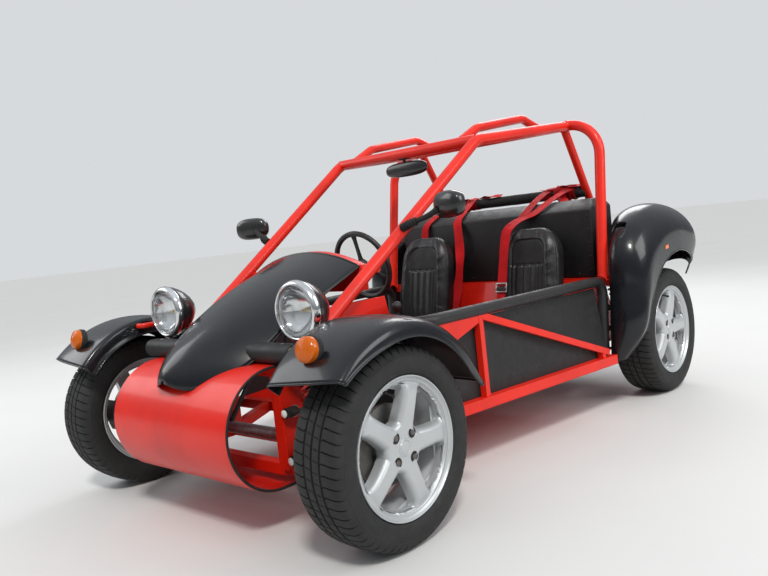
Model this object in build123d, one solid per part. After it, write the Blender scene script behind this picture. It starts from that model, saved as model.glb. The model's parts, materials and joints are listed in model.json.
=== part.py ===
from build123d import *
import os
from math import cos, hypot, radians, sin, sqrt

# A two-seat dune buggy. All sizes are in millimetres.
# X runs to the vehicle's left, Y rearward from the front axle, Z up from the height of the axles.
# Every node is moved at the end, so that the origin is on the ground below the middle of the vehicle.

# Wheels and axles
WHEELBASE = 1958
TRACK_FRONT = 1360
TRACK_REAR = 1349
TYRE_RADIUS = 293
TYRE_WIDTH = 188
RIM_SEAT_RADIUS = 190.5
RIM_FLANGE_RADIUS = 205.5
RIM_WIDTH = 170
SPOKES = 5
HUB_RADIUS = 28
DISC_RADIUS = 120
DISC_HALF = 6
BOLT_CIRCLE = 50
KINGPIN_X = 600
REAR_BALL_X = 596

# Overall reach, measured from the two axles
NOSE_REACH = 300
TAIL_REACH = 383

# Tubes and clearances
FRAME_TUBE = 38
TRUSS_TUBE = 25
CAGE_TUBE = 46
BAR_TUBE = 38
RAIL_TUBE = 45
FRAME_HALF = FRAME_TUBE / 2
SEAT_GAP = 0.3
PLATE = 4

# Lower frame
SILL_Z = -53
SILL_FRONT = (505, 365)
SILL_REAR = (672, WHEELBASE - 458)
NOSE_BOX_HALF = 300
NOSE_BOX_FRONT = -60
NOSE_BOX_REAR = 200
NOSE_LOW_Z = -103
REAR_FRAME_HALF = 400
REAR_FRAME_FRONT = WHEELBASE - 329
REAR_FRAME_END = WHEELBASE + 222
REAR_TOP_Z = 275
FLOOR_SHEET = 3
FLOOR_TOP = SILL_Z - FRAME_HALF
NOSE_PLATE_X = NOSE_BOX_HALF + FRAME_HALF
REAR_PLATE_X = REAR_FRAME_HALF + FRAME_HALF

# Waist rails and side trusses
WAIST_Z = 287
WAIST_FOOT = (345, 150)
WAIST_FRONT = (530, 450)
WAIST_REAR = (625, WHEELBASE - 413)
TRUSS_POST_Y = 690

# Cage, with the height of its hoop above the axles
CAGE_HEIGHT = 997
PILLAR_FOOT = (345, 112, WAIST_Z + 32)
HEADER_CORNER = (390, 1021, CAGE_HEIGHT - 63)
RAIL_END = (450, WHEELBASE - 303, CAGE_HEIGHT - 2)
HOOP_FOOT = (622, WHEELBASE - 398, WAIST_Z + 10)
HOOP_TOP = (612, WHEELBASE - 286, CAGE_HEIGHT)
HOOP_BEND = 155
BRACE_TOP = (427, WHEELBASE - 258, CAGE_HEIGHT - 20)
BRACE_FOOT = (420, WHEELBASE + 152, REAR_TOP_Z + FRAME_HALF + 3)
ROOF_BAR_RISE = 52

# Nose
NOSE_HALF = 325
NOSE_CENTRE_Y = -105
NOSE_CENTRE_Z = 42
NOSE_RADIUS = 195
NOSE_SHEET = 3
NOSE_TOP_END = 60
NOSE_TOP_Z = NOSE_CENTRE_Z + NOSE_RADIUS
NOSE_FRAME_TOP = NOSE_TOP_Z - NOSE_SHEET - SEAT_GAP - FRAME_HALF

# Bonnet sections: distance behind the front axle, half width, lower edge, crown
BONNET_SKIN = 5
BONNET_SECTIONS = (
    (-282, 18, 207, 223),
    (-270, 44, 192, 240),
    (-248, 86, 181, 266),
    (-205, 150, 189, 301),
    (-150, 203, 216, 336),
    (-90, 238, 252, 371),
    (-15, 256, 303, 410),
    (60, 265, 352, 444),
    (140, 273, 393, 476),
    (220, 279, 429, 505),
    (372, 287, 494, 557),
)
DASH_FRONT = BONNET_SECTIONS[-1][0] + SEAT_GAP
DASH_DEPTH = 38
DASH_LOW = 407

# Headlamps
LAMP_CENTRE = (373, -18, 392)
LAMP_RADIUS = 98
LENS_RADIUS = 81
LENS_BULGE = 12
POD_HEIGHT = 62
POD_DEPTH = 80
POD_REACH = 406
POD_Y = -63

# Front wings
WING_INNER_X = 530
WING_OUTER_X = 800
WING_RADIUS = TYRE_RADIUS + 82
WING_SKIN = 5
WING_STAY_RADIUS = WING_RADIUS - 26

# Rear fenders
FENDER_INNER_X = 590
FENDER_FRONT_X = 652
FENDER_ARCH = TYRE_RADIUS + 81
FENDER_SKIN = 5
FENDER_LIP = 34

# Fender sections about the rear axle: angle behind the vertical, height above the arch, inner wall, crest, outer side
FENDER_SECTIONS = (
    (-98, 82, FENDER_FRONT_X, 676, 712),
    (-80, 80, FENDER_FRONT_X, 690, 795),
    (-60, 118, FENDER_FRONT_X, 695, 812),
    (-42, 216, FENDER_FRONT_X, 695, 815),
    (-20, 238, 606, 684, 818),
    (5, 222, FENDER_INNER_X, 690, 820),
    (30, 211, FENDER_INNER_X, 690, 808),
    (42, 161, FENDER_INNER_X, 680, 768),
    (52, 112, FENDER_INNER_X, 668, 735),
)

# Cabin
SEAT_X = 310
SEAT_Y = SILL_REAR[1] - 130
SEAT_BACK_HALF = 155
SEAT_BASE_HALF = 185
SEAT_BACK_TOP = 553
BOX_FRONT = REAR_FRAME_FRONT - 7
BOX_REAR = WHEELBASE - 123
BOX_HALF = 558
BOX_LOW = REAR_TOP_Z + FRAME_HALF + SEAT_GAP
BOX_SHOULDER = 605
BOX_TOP = 655
HARNESS_BAR_Z = 692
HARNESS_BAR_TUBE = 52
WHEEL_CENTRE = (-300, 1000, 457)
WHEEL_RING = 158
WHEEL_RIM = 26
COLUMN_TILT = 16
COLUMN_TUBE = 36
COLUMN_LENGTH = 560

# Suspension and steering, with heights from the axles
LOWER_BALL_Z = -115
UPPER_BALL_Z = 115
PIVOT_TUBE = 33
FRONT_PIVOT_X = NOSE_PLATE_X + PLATE + PIVOT_TUBE / 2 + SEAT_GAP
REAR_PIVOT_X = REAR_PLATE_X + PLATE + PIVOT_TUBE / 2 + SEAT_GAP
RACK_Y = 95
RACK_Z = -61
RACK_TUBE = 44
RACK_HALF = 262
ROD_DIAMETER = 20
STEER_ARM_Z = -41
CALIPER_INNER = 84
CALIPER_OUTER = 140
EYE_RADIUS = 15
SPRING_DIAMETER = 66

# Rear
SILENCER_DIAMETER = 120
TOW_PLATE = 10
TOW_EYE_RADIUS = 12
TOW_EYE_OUT = 27
SHAFT_HOLE = 32


def rod(start, end, diameter):
    """A round bar between two points."""
    start, end = Vector(*start), Vector(*end)
    return extrude(Plane(origin=start, z_dir=end - start) * Circle(diameter / 2), amount=(end - start).length)


def bent_tube(points, bend, diameter):
    """A round bar along straight runs joined by bends."""
    path = FilletPolyline(*points, radius=bend)
    return sweep(Plane(origin=path @ 0, z_dir=path % 0) * Circle(diameter / 2), path=path)


def bar(start, end, width, height=None):
    """A square or flat bar between two points, its width level."""
    start, end = Vector(*start), Vector(*end)
    along = (end - start).normalized()
    level = Vector(0, 0, 1).cross(along)
    side = Vector(1, 0, 0) if level.length < 0.01 else level.normalized()
    section = Rectangle(width, height or width)
    return extrude(Plane(origin=start, x_dir=side, z_dir=along) * section, amount=(end - start).length)


def slab(x, thickness, outline):
    """A plate of one thickness that starts at x, from an outline of (y, z) points."""
    face = make_face(Polyline(*[(x, y, z) for y, z in outline], close=True))
    return extrude(face, thickness, dir=(1, 0, 0))


def middle_slab(half, outline):
    """A block as wide on the left as on the right, from an outline of (y, z) points."""
    return slab(-half, 2 * half, outline)


def mirrored(shape):
    return mirror(shape, about=Plane.YZ)


def both(shape):
    """The left shape with its mirror image on the right."""
    return [shape, mirrored(shape)]


def fused(shapes):
    result = shapes[0]
    for shape in shapes[1:]:
        result = result + shape
    return result


def largest(shape):
    return max(shape.solids(), key=lambda solid: solid.volume)


def flip(point):
    return (-point[0], *point[1:])


def save(name, *shapes):
    """Writes one node, moved to the ground and to the middle of the vehicle's length."""
    shift = Pos(0, (NOSE_REACH - WHEELBASE - TAIL_REACH) / 2, TYRE_RADIUS)
    moved = [shift * solid for shape in shapes for solid in shape.solids()]
    export_step(moved[0] if len(moved) == 1 else Compound(moved), f"parts/{name}.step")


def between(y, front, rear):
    """The x of a straight line from front to rear, each given as (x, y)."""
    return front[0] + (y - front[1]) / (rear[1] - front[1]) * (rear[0] - front[0])


def sill_x(y):
    return between(y, SILL_FRONT, SILL_REAR)


def waist_x(y):
    return between(y, WAIST_FRONT, WAIST_REAR)


def side_point(y, z):
    """A point of the vehicle's side, between the sill and the waist rail."""
    share = (z - SILL_Z) / (WAIST_Z - SILL_Z)
    return (sill_x(y) + share * (waist_x(y) - sill_x(y)), y, z)


def lathe(points, start=0, sweep_angle=360):
    """Turns an outline of (x, radius) points about the X axis."""
    outline = make_face(Polyline(*[(x, 0, radius) for x, radius in points], close=True))
    return revolve(Rot(start, 0, 0) * outline, Axis.X, sweep_angle)


# Wheels

def tyre_solid():
    half = TYRE_WIDTH / 2
    bead = RIM_WIDTH / 2 - 9 - SEAT_GAP
    shoulder = TYRE_RADIUS - 9
    # Half of the outline: x, radius
    side = [(bead, RIM_SEAT_RADIUS + SEAT_GAP), (bead, RIM_FLANGE_RADIUS + 1), (half - 5, RIM_FLANGE_RADIUS + 12),
            (half, RIM_FLANGE_RADIUS + 32), (half - 5, shoulder - 14), (half - 16, shoulder),
            (half - 34, TYRE_RADIUS - 2)]
    return lathe(side + [(0, TYRE_RADIUS)] + [(-x, radius) for x, radius in reversed(side)])


def rim_barrel():
    half = RIM_WIDTH / 2
    bead = half - 9
    well = RIM_SEAT_RADIUS - 16.5
    wall = 7
    return lathe([
        (-half, RIM_FLANGE_RADIUS), (-bead, RIM_FLANGE_RADIUS), (-bead, RIM_SEAT_RADIUS),
        (-bead + 24, RIM_SEAT_RADIUS), (-bead + 36, well), (18, well), (34, RIM_SEAT_RADIUS),
        (bead, RIM_SEAT_RADIUS), (bead, RIM_FLANGE_RADIUS), (half, RIM_FLANGE_RADIUS),
        (half, RIM_FLANGE_RADIUS - 5), (half - 12, RIM_SEAT_RADIUS - 6), (30, RIM_SEAT_RADIUS - wall - 1),
        (16, well - wall), (-bead + 38, well - wall), (-bead + 22, RIM_SEAT_RADIUS - wall),
        (-half, RIM_SEAT_RADIUS - 5)])


# Outline of one spoke: radius, half width
SPOKE_OUTLINE = ((20, 31), (100, 25), (150, 23), (RIM_SEAT_RADIUS - 4.5, 27))
SPOKE_CROTCH = 26


def rim_star():
    """Five spokes that widen at both ends, with round crotches, cut to the dished face of the wheel."""
    outline = Polyline(*[(r, -half) for r, half in SPOKE_OUTLINE],
                       *[(r, half) for r, half in reversed(SPOKE_OUTLINE)], close=True)
    star = Sketch() + Circle(45)
    for index in range(SPOKES):
        star += Rot(0, 0, 360 / SPOKES * index) * make_face(outline)
    crotches = [v for v in star.vertices() if 40 < hypot(v.X, v.Y) < 80]
    star = fillet(crotches, SPOKE_CROTCH)
    edge = RIM_SEAT_RADIUS - 7.5
    # Front of the face from the hub out, then its back: x, radius
    dish = lathe([(20, 0), (71, 0), (71, 55), (75, 100), (77, 150), (71, edge), (44, edge), (36, 120), (24, 72),
                  (20, 64)])
    return (Plane.YZ * extrude(star, RIM_WIDTH)) & dish


def wheel_parts(track, axle_y):
    """Tyre, rim and brake disc of the left wheel."""
    rim = rim_barrel() + rim_star()
    rim -= Plane.YZ * (Pos(0, 0, 71) * Cylinder(HUB_RADIUS - 1, 12))
    for place in PolarLocations(BOLT_CIRCLE, 4, 45):
        rim -= Plane.YZ * (place * Cylinder(7.5, 300))
    bore = HUB_RADIUS + SEAT_GAP
    hat = 20 - SEAT_GAP
    disc = lathe([(-DISC_HALF, bore), (-DISC_HALF, DISC_RADIUS), (DISC_HALF, DISC_RADIUS), (DISC_HALF, 62),
                  (hat, 62), (hat, bore)])
    place = Pos(track / 2, axle_y, 0)
    return place * tyre_solid(), place * rim, place * disc


def save_wheels():
    for corner, track, axle_y in (("front", TRACK_FRONT, 0), ("rear", TRACK_REAR, WHEELBASE)):
        for name, shape in zip(("tyre", "rim", "brake_disc"), wheel_parts(track, axle_y)):
            save(f"{name}_{corner}_left", shape)
            save(f"{name}_{corner}_right", mirrored(shape))


def caliper(x, turn):
    """A brake caliper that straddles the disc at x, turned about the axle from the vertical."""
    inner, outer, slot = -36, 18, DISC_HALF + 5
    ring = lathe([(inner, CALIPER_INNER), (outer, CALIPER_INNER), (outer, CALIPER_OUTER), (inner, CALIPER_OUTER)],
                 -25, 50)
    gap = lathe([(-slot, 0), (slot, 0), (slot, DISC_RADIUS + 5), (-slot, DISC_RADIUS + 5)])
    return Pos(x, 0, 0) * Rot(turn, 0, 0) * (ring - gap)


# Lower frame

def wing_stay_z(y):
    """Height at which a wing stay meets the wing's inner flange."""
    return sqrt(WING_STAY_RADIUS ** 2 - y ** 2)


def nose_frame_left():
    """The left half of the nose box, its link to the sill, its suspension plate and the wing stays."""
    x, top = NOSE_BOX_HALF, NOSE_FRAME_TOP
    pieces = [
        bar((x, NOSE_BOX_FRONT, NOSE_LOW_Z), (x, NOSE_BOX_REAR, NOSE_LOW_Z), FRAME_TUBE),
        bar((x, NOSE_BOX_REAR - FRAME_HALF, NOSE_LOW_Z + 5), (x, SILL_FRONT[1] - FRAME_HALF + 2, SILL_Z),
            FRAME_TUBE - 2),
        bar((x, NOSE_BOX_FRONT - FRAME_HALF, top), (x, NOSE_BOX_REAR, top), FRAME_TUBE),
        bar((x, SILL_FRONT[1], SILL_Z), (SILL_FRONT[0] + FRAME_HALF, SILL_FRONT[1], SILL_Z), FRAME_TUBE)]
    for y in (NOSE_BOX_FRONT, NOSE_BOX_REAR - FRAME_HALF):
        pieces.append(bar((x, y, NOSE_LOW_Z), (x, y, top), FRAME_TUBE))
    low, high, reach = NOSE_LOW_Z - FRAME_HALF, top + FRAME_HALF, 75
    pieces.append(slab(NOSE_PLATE_X, PLATE, [
        (-reach, low + 25), (-reach + 25, low), (reach, low), (reach, high), (-reach + 35, high),
        (-reach, high - 35)]))
    flange = WING_INNER_X - SEAT_GAP
    front_y, rear_y = -50, 112
    front_z, rear_z = wing_stay_z(front_y), wing_stay_z(rear_y)
    pieces.append(bent_tube([(x, 128, top), (flange - 38, 128, front_z), (flange - 30, front_y, front_z),
                             (flange, front_y, front_z)], 20, 20))
    pieces.append(bent_tube([(x, 172, top), (flange - 40, 150, rear_z), (flange, rear_y, rear_z)], 35, 20))
    return pieces


def rear_frame_left():
    """The left rails behind the bulkhead, with the plates that carry the rear arms and the fender's stay."""
    x = REAR_FRAME_HALF
    end = REAR_FRAME_END - FRAME_HALF
    pieces = [
        bar((x, SILL_REAR[1] - FRAME_HALF, SILL_Z), (x, REAR_FRAME_END, SILL_Z), FRAME_TUBE),
        bar((x, REAR_FRAME_FRONT - FRAME_HALF, REAR_TOP_Z), (x, REAR_FRAME_END, REAR_TOP_Z), FRAME_TUBE),
        bar((x, end, SILL_Z), (x, end, REAR_TOP_Z), FRAME_TUBE),
        bar((x, REAR_FRAME_FRONT, SILL_Z), (x, REAR_FRAME_FRONT, REAR_TOP_Z), FRAME_TUBE)]
    low, high = SILL_Z - FRAME_HALF, REAR_TOP_Z - FRAME_HALF + 10
    front, back = WHEELBASE - 150, WHEELBASE + 150
    plate = slab(REAR_PLATE_X, PLATE, [
        (front, low), (back, low), (back, low + 50), (WHEELBASE - 5, high), (WHEELBASE - 130, high),
        (front, low + 60)])
    pieces.append(plate - Pos(REAR_PLATE_X, WHEELBASE, 0) * Rot(0, 90, 0) * Cylinder(SHAFT_HOLE, 4 * PLATE))
    pieces.append(rod((x + 5, WHEELBASE + 172, REAR_TOP_Z), (FENDER_INNER_X + 10, WHEELBASE + 142, 519), 20))
    return pieces


def chassis_frame():
    left = [bar((*SILL_FRONT, SILL_Z), (*SILL_REAR, SILL_Z), FRAME_TUBE)] + nose_frame_left() + rear_frame_left()
    nose_rear = NOSE_BOX_REAR - FRAME_HALF
    end = REAR_FRAME_END - FRAME_HALF
    jack_y = (SILL_FRONT[1] + SILL_REAR[1]) / 2
    # Cross members: distance behind the front axle, height, reach to each side
    crosses = (
        (NOSE_BOX_FRONT, NOSE_LOW_Z, NOSE_BOX_HALF),
        (nose_rear, NOSE_LOW_Z, NOSE_BOX_HALF),
        (NOSE_BOX_FRONT, NOSE_FRAME_TOP, NOSE_BOX_HALF),
        (SILL_FRONT[1], SILL_Z, NOSE_BOX_HALF),
        (jack_y, SILL_Z, sill_x(jack_y)),
        (SILL_REAR[1] - FRAME_HALF, SILL_Z, SILL_REAR[0]),
        (end, SILL_Z, REAR_FRAME_HALF),
        (end, REAR_TOP_Z, REAR_FRAME_HALF),
        (REAR_FRAME_FRONT, REAR_TOP_Z, FENDER_FRONT_X - SEAT_GAP),
    )
    rows = [bar((-reach, y, z), (reach, y, z), FRAME_TUBE - 1) for y, z, reach in crosses]
    eye_y = REAR_FRAME_END + TOW_EYE_OUT
    tongue = Polyline((-45, REAR_FRAME_END - 3), (-22, eye_y), (22, eye_y), (45, REAR_FRAME_END - 3), close=True)
    tow = Pos(0, 0, SILL_Z - TOW_PLATE / 2) * extrude(make_face(tongue), TOW_PLATE)
    tow += Pos(0, eye_y, SILL_Z) * Cylinder(22, TOW_PLATE)
    tow -= Pos(0, eye_y, SILL_Z) * Cylinder(TOW_EYE_RADIUS, 3 * TOW_PLATE)
    return fused([shape for item in left for shape in both(item)] + rows + [tow])


def waist_rails():
    """Each rail bends down under the hoop's leg and ends on the cross member at the sill's rear end."""
    foot = (HOOP_FOOT[0], SILL_REAR[1] + 15, SILL_Z)
    return both(bent_tube([(*WAIST_FOOT, WAIST_Z - 5), (*WAIST_FRONT, WAIST_Z), (*WAIST_REAR, WAIST_Z), foot], 60,
                          RAIL_TUBE))


def side_trusses():
    """Post, long diagonal and corner gusset between each sill and waist rail."""
    low, high = SILL_Z, WAIST_Z
    end_y = SILL_REAR[1] - 35
    runs = (((TRUSS_POST_Y, low), (TRUSS_POST_Y, high)), ((TRUSS_POST_Y + 16, high - 24), (end_y, low + 36)),
            ((end_y - 45, low), (end_y - 45, low + 60)))
    pieces = [bar(side_point(*start), side_point(*end), TRUSS_TUBE) for start, end in runs]
    gusset = [(TRUSS_POST_Y - 260, high - 6), (TRUSS_POST_Y + 36, high - 14), (TRUSS_POST_Y, high - 40),
              (TRUSS_POST_Y - 160, high - 94)]
    corners = [Vector(*side_point(y, z)) + Vector(TRUSS_TUBE / 2 - 5, 0, 0) for y, z in gusset]
    for three in (corners[:3], [corners[0], *corners[2:]]):
        pieces.append(extrude(make_face(Polyline(*three, close=True)), 5, dir=(1, 0, 0)))
    return both(fused(pieces))


def side_panels():
    """The sheet inside each truss, and the wall between the nose box and the sill."""
    inset = TRUSS_TUBE / 2 + 2
    sheets = []
    for y in (SILL_FRONT[1] + 20, SILL_REAR[1] - 12):
        low, high = side_point(y, FLOOR_TOP + FRAME_TUBE), side_point(y, WAIST_Z - RAIL_TUBE / 2 - 5)
        sheets.append(make_face(Polyline(
            (low[0] - inset, y, low[2]), (low[0] - inset - 3, y, low[2]),
            (high[0] - inset - 3, y, high[2]), (high[0] - inset, y, high[2]), close=True)))
    x0, y0 = NOSE_BOX_HALF + FRAME_HALF + 1, NOSE_BOX_REAR
    x1, y1 = SILL_FRONT[0] - 8, SILL_FRONT[1] - 22
    wall = make_face(Polyline((x0, y0), (x1, y1), (x1 - 2, y1 + 3), (x0 - 2, y0 + 3), close=True))
    footwell = Pos(0, 0, FLOOR_TOP) * extrude(wall, WAIST_Z - SILL_Z - 12)
    return both(loft(sheets, ruled=True)) + both(footwell)


def floor_pan():
    corners = [(SILL_FRONT[0] + FRAME_HALF, SILL_FRONT[1]), (SILL_REAR[0] + FRAME_HALF - 3, SILL_REAR[1])]
    outline = corners + [(-x, y) for x, y in reversed(corners)]
    return Pos(0, 0, FLOOR_TOP - FLOOR_SHEET) * extrude(make_face(Polyline(*outline, close=True)), FLOOR_SHEET)


def bulkhead():
    """The sloping red sheet behind the seats."""
    low_y, low_z = SILL_REAR[1] - 10, SILL_Z + FRAME_HALF + SEAT_GAP
    top_y, top_z = REAR_FRAME_FRONT - FRAME_HALF, REAR_TOP_Z + FRAME_HALF - 8
    return middle_slab(BOX_HALF + 2, [(low_y, low_z), (top_y, top_z), (top_y, top_z + FLOOR_SHEET),
                                      (low_y - FLOOR_SHEET, low_z + FLOOR_SHEET)])


# Cage

def main_hoop():
    hoop = bent_tube([HOOP_FOOT, HOOP_TOP, flip(HOOP_TOP), flip(HOOP_FOOT)], HOOP_BEND, CAGE_TUBE)
    brace = rod(BRACE_TOP, BRACE_FOOT, BAR_TUBE)
    top_in = rod((BRACE_TOP[0], *HOOP_TOP[1:]), BRACE_TOP, BAR_TUBE)
    return hoop + brace + top_in + mirrored(brace) + mirrored(top_in)


def cage_rails():
    return both(bent_tube([PILLAR_FOOT, HEADER_CORNER, RAIL_END], 130, CAGE_TUBE))


def roof_bars():
    header = rod(flip(HEADER_CORNER), HEADER_CORNER, CAGE_TUBE)
    front_y, rear_y = HEADER_CORNER[1], HOOP_TOP[1]
    high = CAGE_HEIGHT + ROOF_BAR_RISE
    rise = bent_tube([(302, front_y + 4, HEADER_CORNER[2] + 3), (308, front_y + 134, high - 50),
                      (314, rear_y - 159, high), (314, rear_y, high - 50)], 90, BAR_TUBE)
    return header + rise + mirrored(rise)


# Bodywork

def nose_cowl():
    """The red sheet rolled round the nose, open at both ends."""
    low = NOSE_CENTRE_Z - NOSE_RADIUS
    block = middle_slab(NOSE_HALF, [(NOSE_CENTRE_Y, NOSE_TOP_Z), (NOSE_TOP_END, NOSE_TOP_Z), (NOSE_TOP_END, low),
                                    (NOSE_CENTRE_Y, low)])
    axis = Pos(0, NOSE_CENTRE_Y, NOSE_CENTRE_Z) * Rot(0, 90, 0)
    block += axis * Cylinder(NOSE_RADIUS, 2 * NOSE_HALF)
    inner = NOSE_RADIUS - NOSE_SHEET
    hollow = axis * Cylinder(inner, 3 * NOSE_HALF)
    roof, base = NOSE_CENTRE_Z + inner, NOSE_CENTRE_Z - inner
    hollow += middle_slab(2 * NOSE_HALF, [(NOSE_CENTRE_Y, base), (NOSE_TOP_END + 1, base), (NOSE_TOP_END + 1, roof),
                                          (NOSE_CENTRE_Y, roof)])
    behind = middle_slab(2 * NOSE_HALF, [(NOSE_TOP_END, low - 10), (NOSE_TOP_END + 100, low - 10),
                                         (NOSE_TOP_END + 100, NOSE_TOP_Z + 10), (NOSE_TOP_END, NOSE_TOP_Z + 10)])
    return block - hollow - behind


def bonnet_section(y, half, edge, crown):
    """A thin arch: the outer arc, the skin's edge, the inner arc and the other edge."""
    skin = BONNET_SKIN
    outer = ThreePointArc((-half, y, edge), (0, y, crown), (half, y, edge))
    inner = ThreePointArc((half - skin, y, edge), (0, y, crown - skin), (-half + skin, y, edge))
    return make_face(outer + Line((half, y, edge), (half - skin, y, edge)) + inner
                     + Line((-half + skin, y, edge), (-half, y, edge)))


def bonnet(pods):
    shell = loft([bonnet_section(*row) for row in BONNET_SECTIONS], ruled=True)
    y, half, edge, crown = BONNET_SECTIONS[0]
    tip = make_face(ThreePointArc((-half, y, edge), (0, y, crown), (half, y, edge)) + Line((half, y, edge),
                                                                                           (-half, y, edge)))
    shell += extrude(tip, BONNET_SKIN, dir=(0, 1, 0))
    sheet = Pos(0, NOSE_CENTRE_Y, NOSE_CENTRE_Z) * Rot(0, 90, 0) * Cylinder(NOSE_RADIUS + SEAT_GAP, 3 * NOSE_HALF)
    return largest(shell - sheet - pods)


def dashboard():
    """The arched panel behind the bonnet, its cross tube, and the low panels beside the pillars' feet."""
    y, half, edge, crown = BONNET_SECTIONS[-1]
    front = DASH_FRONT
    arch = ThreePointArc((-half, front, edge + 4), (0, front, crown + 4), (half, front, edge + 4))
    rest = Polyline((half, front, edge + 4), (half, front, DASH_LOW), (-half, front, DASH_LOW),
                    (-half, front, edge + 4))
    panel = extrude(make_face(arch + rest), DASH_DEPTH, dir=(0, 1, 0))
    tube_y, tube_z = front + DASH_DEPTH / 2, edge - 12
    panel += rod((-NOSE_BOX_HALF - 60, tube_y, tube_z), (NOSE_BOX_HALF + 60, tube_y, tube_z), 28)
    low = WAIST_Z + RAIL_TUBE / 2 + 1
    side = slab(WAIST_FOOT[0] - 7, 3, [(140, low), (445, low), (430, low + 70), (238, low + 70)])
    return [panel] + both(side)


def headlamp_bar():
    z = NOSE_TOP_Z + SEAT_GAP + POD_HEIGHT / 2
    section = Pos(0, POD_Y, z) * Rot(0, 90, 0)
    pod = section * extrude(RectangleRounded(POD_HEIGHT, POD_DEPTH, 28), POD_REACH, both=True)
    recess = section * extrude(Pos(0, 0, POD_REACH - 14) * RectangleRounded(POD_HEIGHT - 14, POD_DEPTH - 14, 22), 30)
    return pod - recess - mirrored(recess)


def headlamp():
    """Bowl and bezel, turned about the lamp's own axis, which points forward, on a stem and a bracket."""
    # Distance behind the lens's front, radius
    outline = [(0, LENS_RADIUS + 1), (-6, LAMP_RADIUS - 8), (0, LAMP_RADIUS), (16, LAMP_RADIUS),
               (20, LAMP_RADIUS - 4), (60, 88), (100, 62), (122, 25), (124, 0), (16, 0), (16, LENS_RADIUS + 1)]
    face = make_face(Polyline(*[(radius, depth) for depth, radius in outline], close=True))
    bowl = Pos(*LAMP_CENTRE) * revolve(face, Axis.Y, 360)
    x, y, z = LAMP_CENTRE
    stem = rod((x, y + 58, z - 70), (x, y + 58, NOSE_TOP_Z + 47), 24)
    bracket = Pos(x, y + 30, NOSE_TOP_Z + 49) * Box(40, 90, 10)
    return bowl + stem + bracket


def headlamp_lens():
    """A round pane with a slightly domed front."""
    depth = 16 - SEAT_GAP
    back = Pos(0, depth / 2, 0) * Rot(90, 0, 0) * Cylinder(LENS_RADIUS, depth)
    dome = (LENS_RADIUS ** 2 + LENS_BULGE ** 2) / (2 * LENS_BULGE)
    cap = Pos(0, dome - LENS_BULGE, 0) * Sphere(dome) & Pos(0, -10, 0) * Rot(90, 0, 0) * Cylinder(LENS_RADIUS, 20)
    return Pos(*LAMP_CENTRE) * (back + cap)


def wing_outline(skin):
    """Cross section of a wing in (x, 0, radius), or its hollow when a skin is given."""
    top = WING_RADIUS - skin
    inner, outer = WING_INNER_X + skin, WING_OUTER_X - skin
    low = WING_RADIUS - 62 - 2 * skin
    path = FilletPolyline((inner, 0, low), (inner, 0, top - 8), (665, 0, top), (outer, 0, top - 14),
                          (outer, 0, low - 6), radius=[24 - skin, 700, 34 - skin])
    close = Polyline((outer, 0, low - 6), (inner, 0, low))
    return make_face(path + close)


def front_wing():
    """A wing rolled round the tyre, with an inner flange, a shallow crown and a deep outer valance."""
    front, rear = 47, 72
    outer = revolve(Rot(-rear, 0, 0) * wing_outline(0), Axis.X, front + rear)
    hollow = revolve(Rot(-rear - 1, 0, 0) * wing_outline(WING_SKIN), Axis.X, front + rear + 2)
    return outer - hollow


def fender_section(angle, height, inner, crest, outer):
    """A thin C across the fender, open towards the axle, in a plane through the axle's line."""
    def half_ring(skin):
        top = FENDER_ARCH + height - skin
        wall = (inner + skin, 0, top - FENDER_LIP)
        side = (outer - skin, 0, FENDER_ARCH + 0.35 * height)
        peak = (crest, 0, top)
        ends = (wall[0], 0, FENDER_ARCH), (side[0] - 4, 0, FENDER_ARCH)
        return ends, [Line(ends[0], wall), TangentArc(peak, wall, tangent=(-1, 0, 0)),
                      TangentArc(peak, side, tangent=(1, 0, 0)), Line(side, ends[1])]

    outer_ends, outer_edges = half_ring(0)
    inner_ends, inner_edges = half_ring(FENDER_SKIN)
    caps = [Line(outer_ends[index], inner_ends[index]) for index in (0, 1)]
    face = make_face(outer_edges + inner_edges + caps)
    return Pos(0, WHEELBASE, 0) * Rot(-angle, 0, 0) * face


def rear_fender():
    """A full bulbous fender, with the intake in its front face beside the hoop."""
    shell = loft([fender_section(*row) for row in FENDER_SECTIONS])
    intake = Pos(684, WHEELBASE - 300, 494) * Rot(90, 0, 0) * extrude(RectangleRounded(54, 76, 22), 100, both=True)
    return largest(shell - intake)


def storage_box():
    body = middle_slab(BOX_HALF, [(BOX_FRONT, BOX_LOW), (BOX_FRONT, BOX_SHOULDER), (BOX_FRONT + 95, BOX_TOP),
                                  (BOX_REAR, BOX_TOP), (BOX_REAR, BOX_LOW)])
    y = BOX_FRONT - 10
    corner = make_face(Polyline((BOX_HALF - 38, y, BOX_TOP + 1), (BOX_HALF + 1, y, BOX_TOP - 40),
                                (BOX_HALF + 1, y, BOX_TOP + 1), close=True))
    cut = extrude(corner, BOX_REAR - y + 10, dir=(0, 1, 0))
    return body - cut - mirrored(cut)


def harness_bar_y():
    share = (BRACE_TOP[2] - HARNESS_BAR_Z) / (BRACE_TOP[2] - BRACE_FOOT[2])
    return BRACE_TOP[1] + share * (BRACE_FOOT[1] - BRACE_TOP[1]) - 4


def harness_bar():
    y, reach = harness_bar_y(), BRACE_TOP[0] - 3
    return rod((-reach, y, HARNESS_BAR_Z), (reach, y, HARNESS_BAR_Z), HARNESS_BAR_TUBE)


# Cabin

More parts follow.
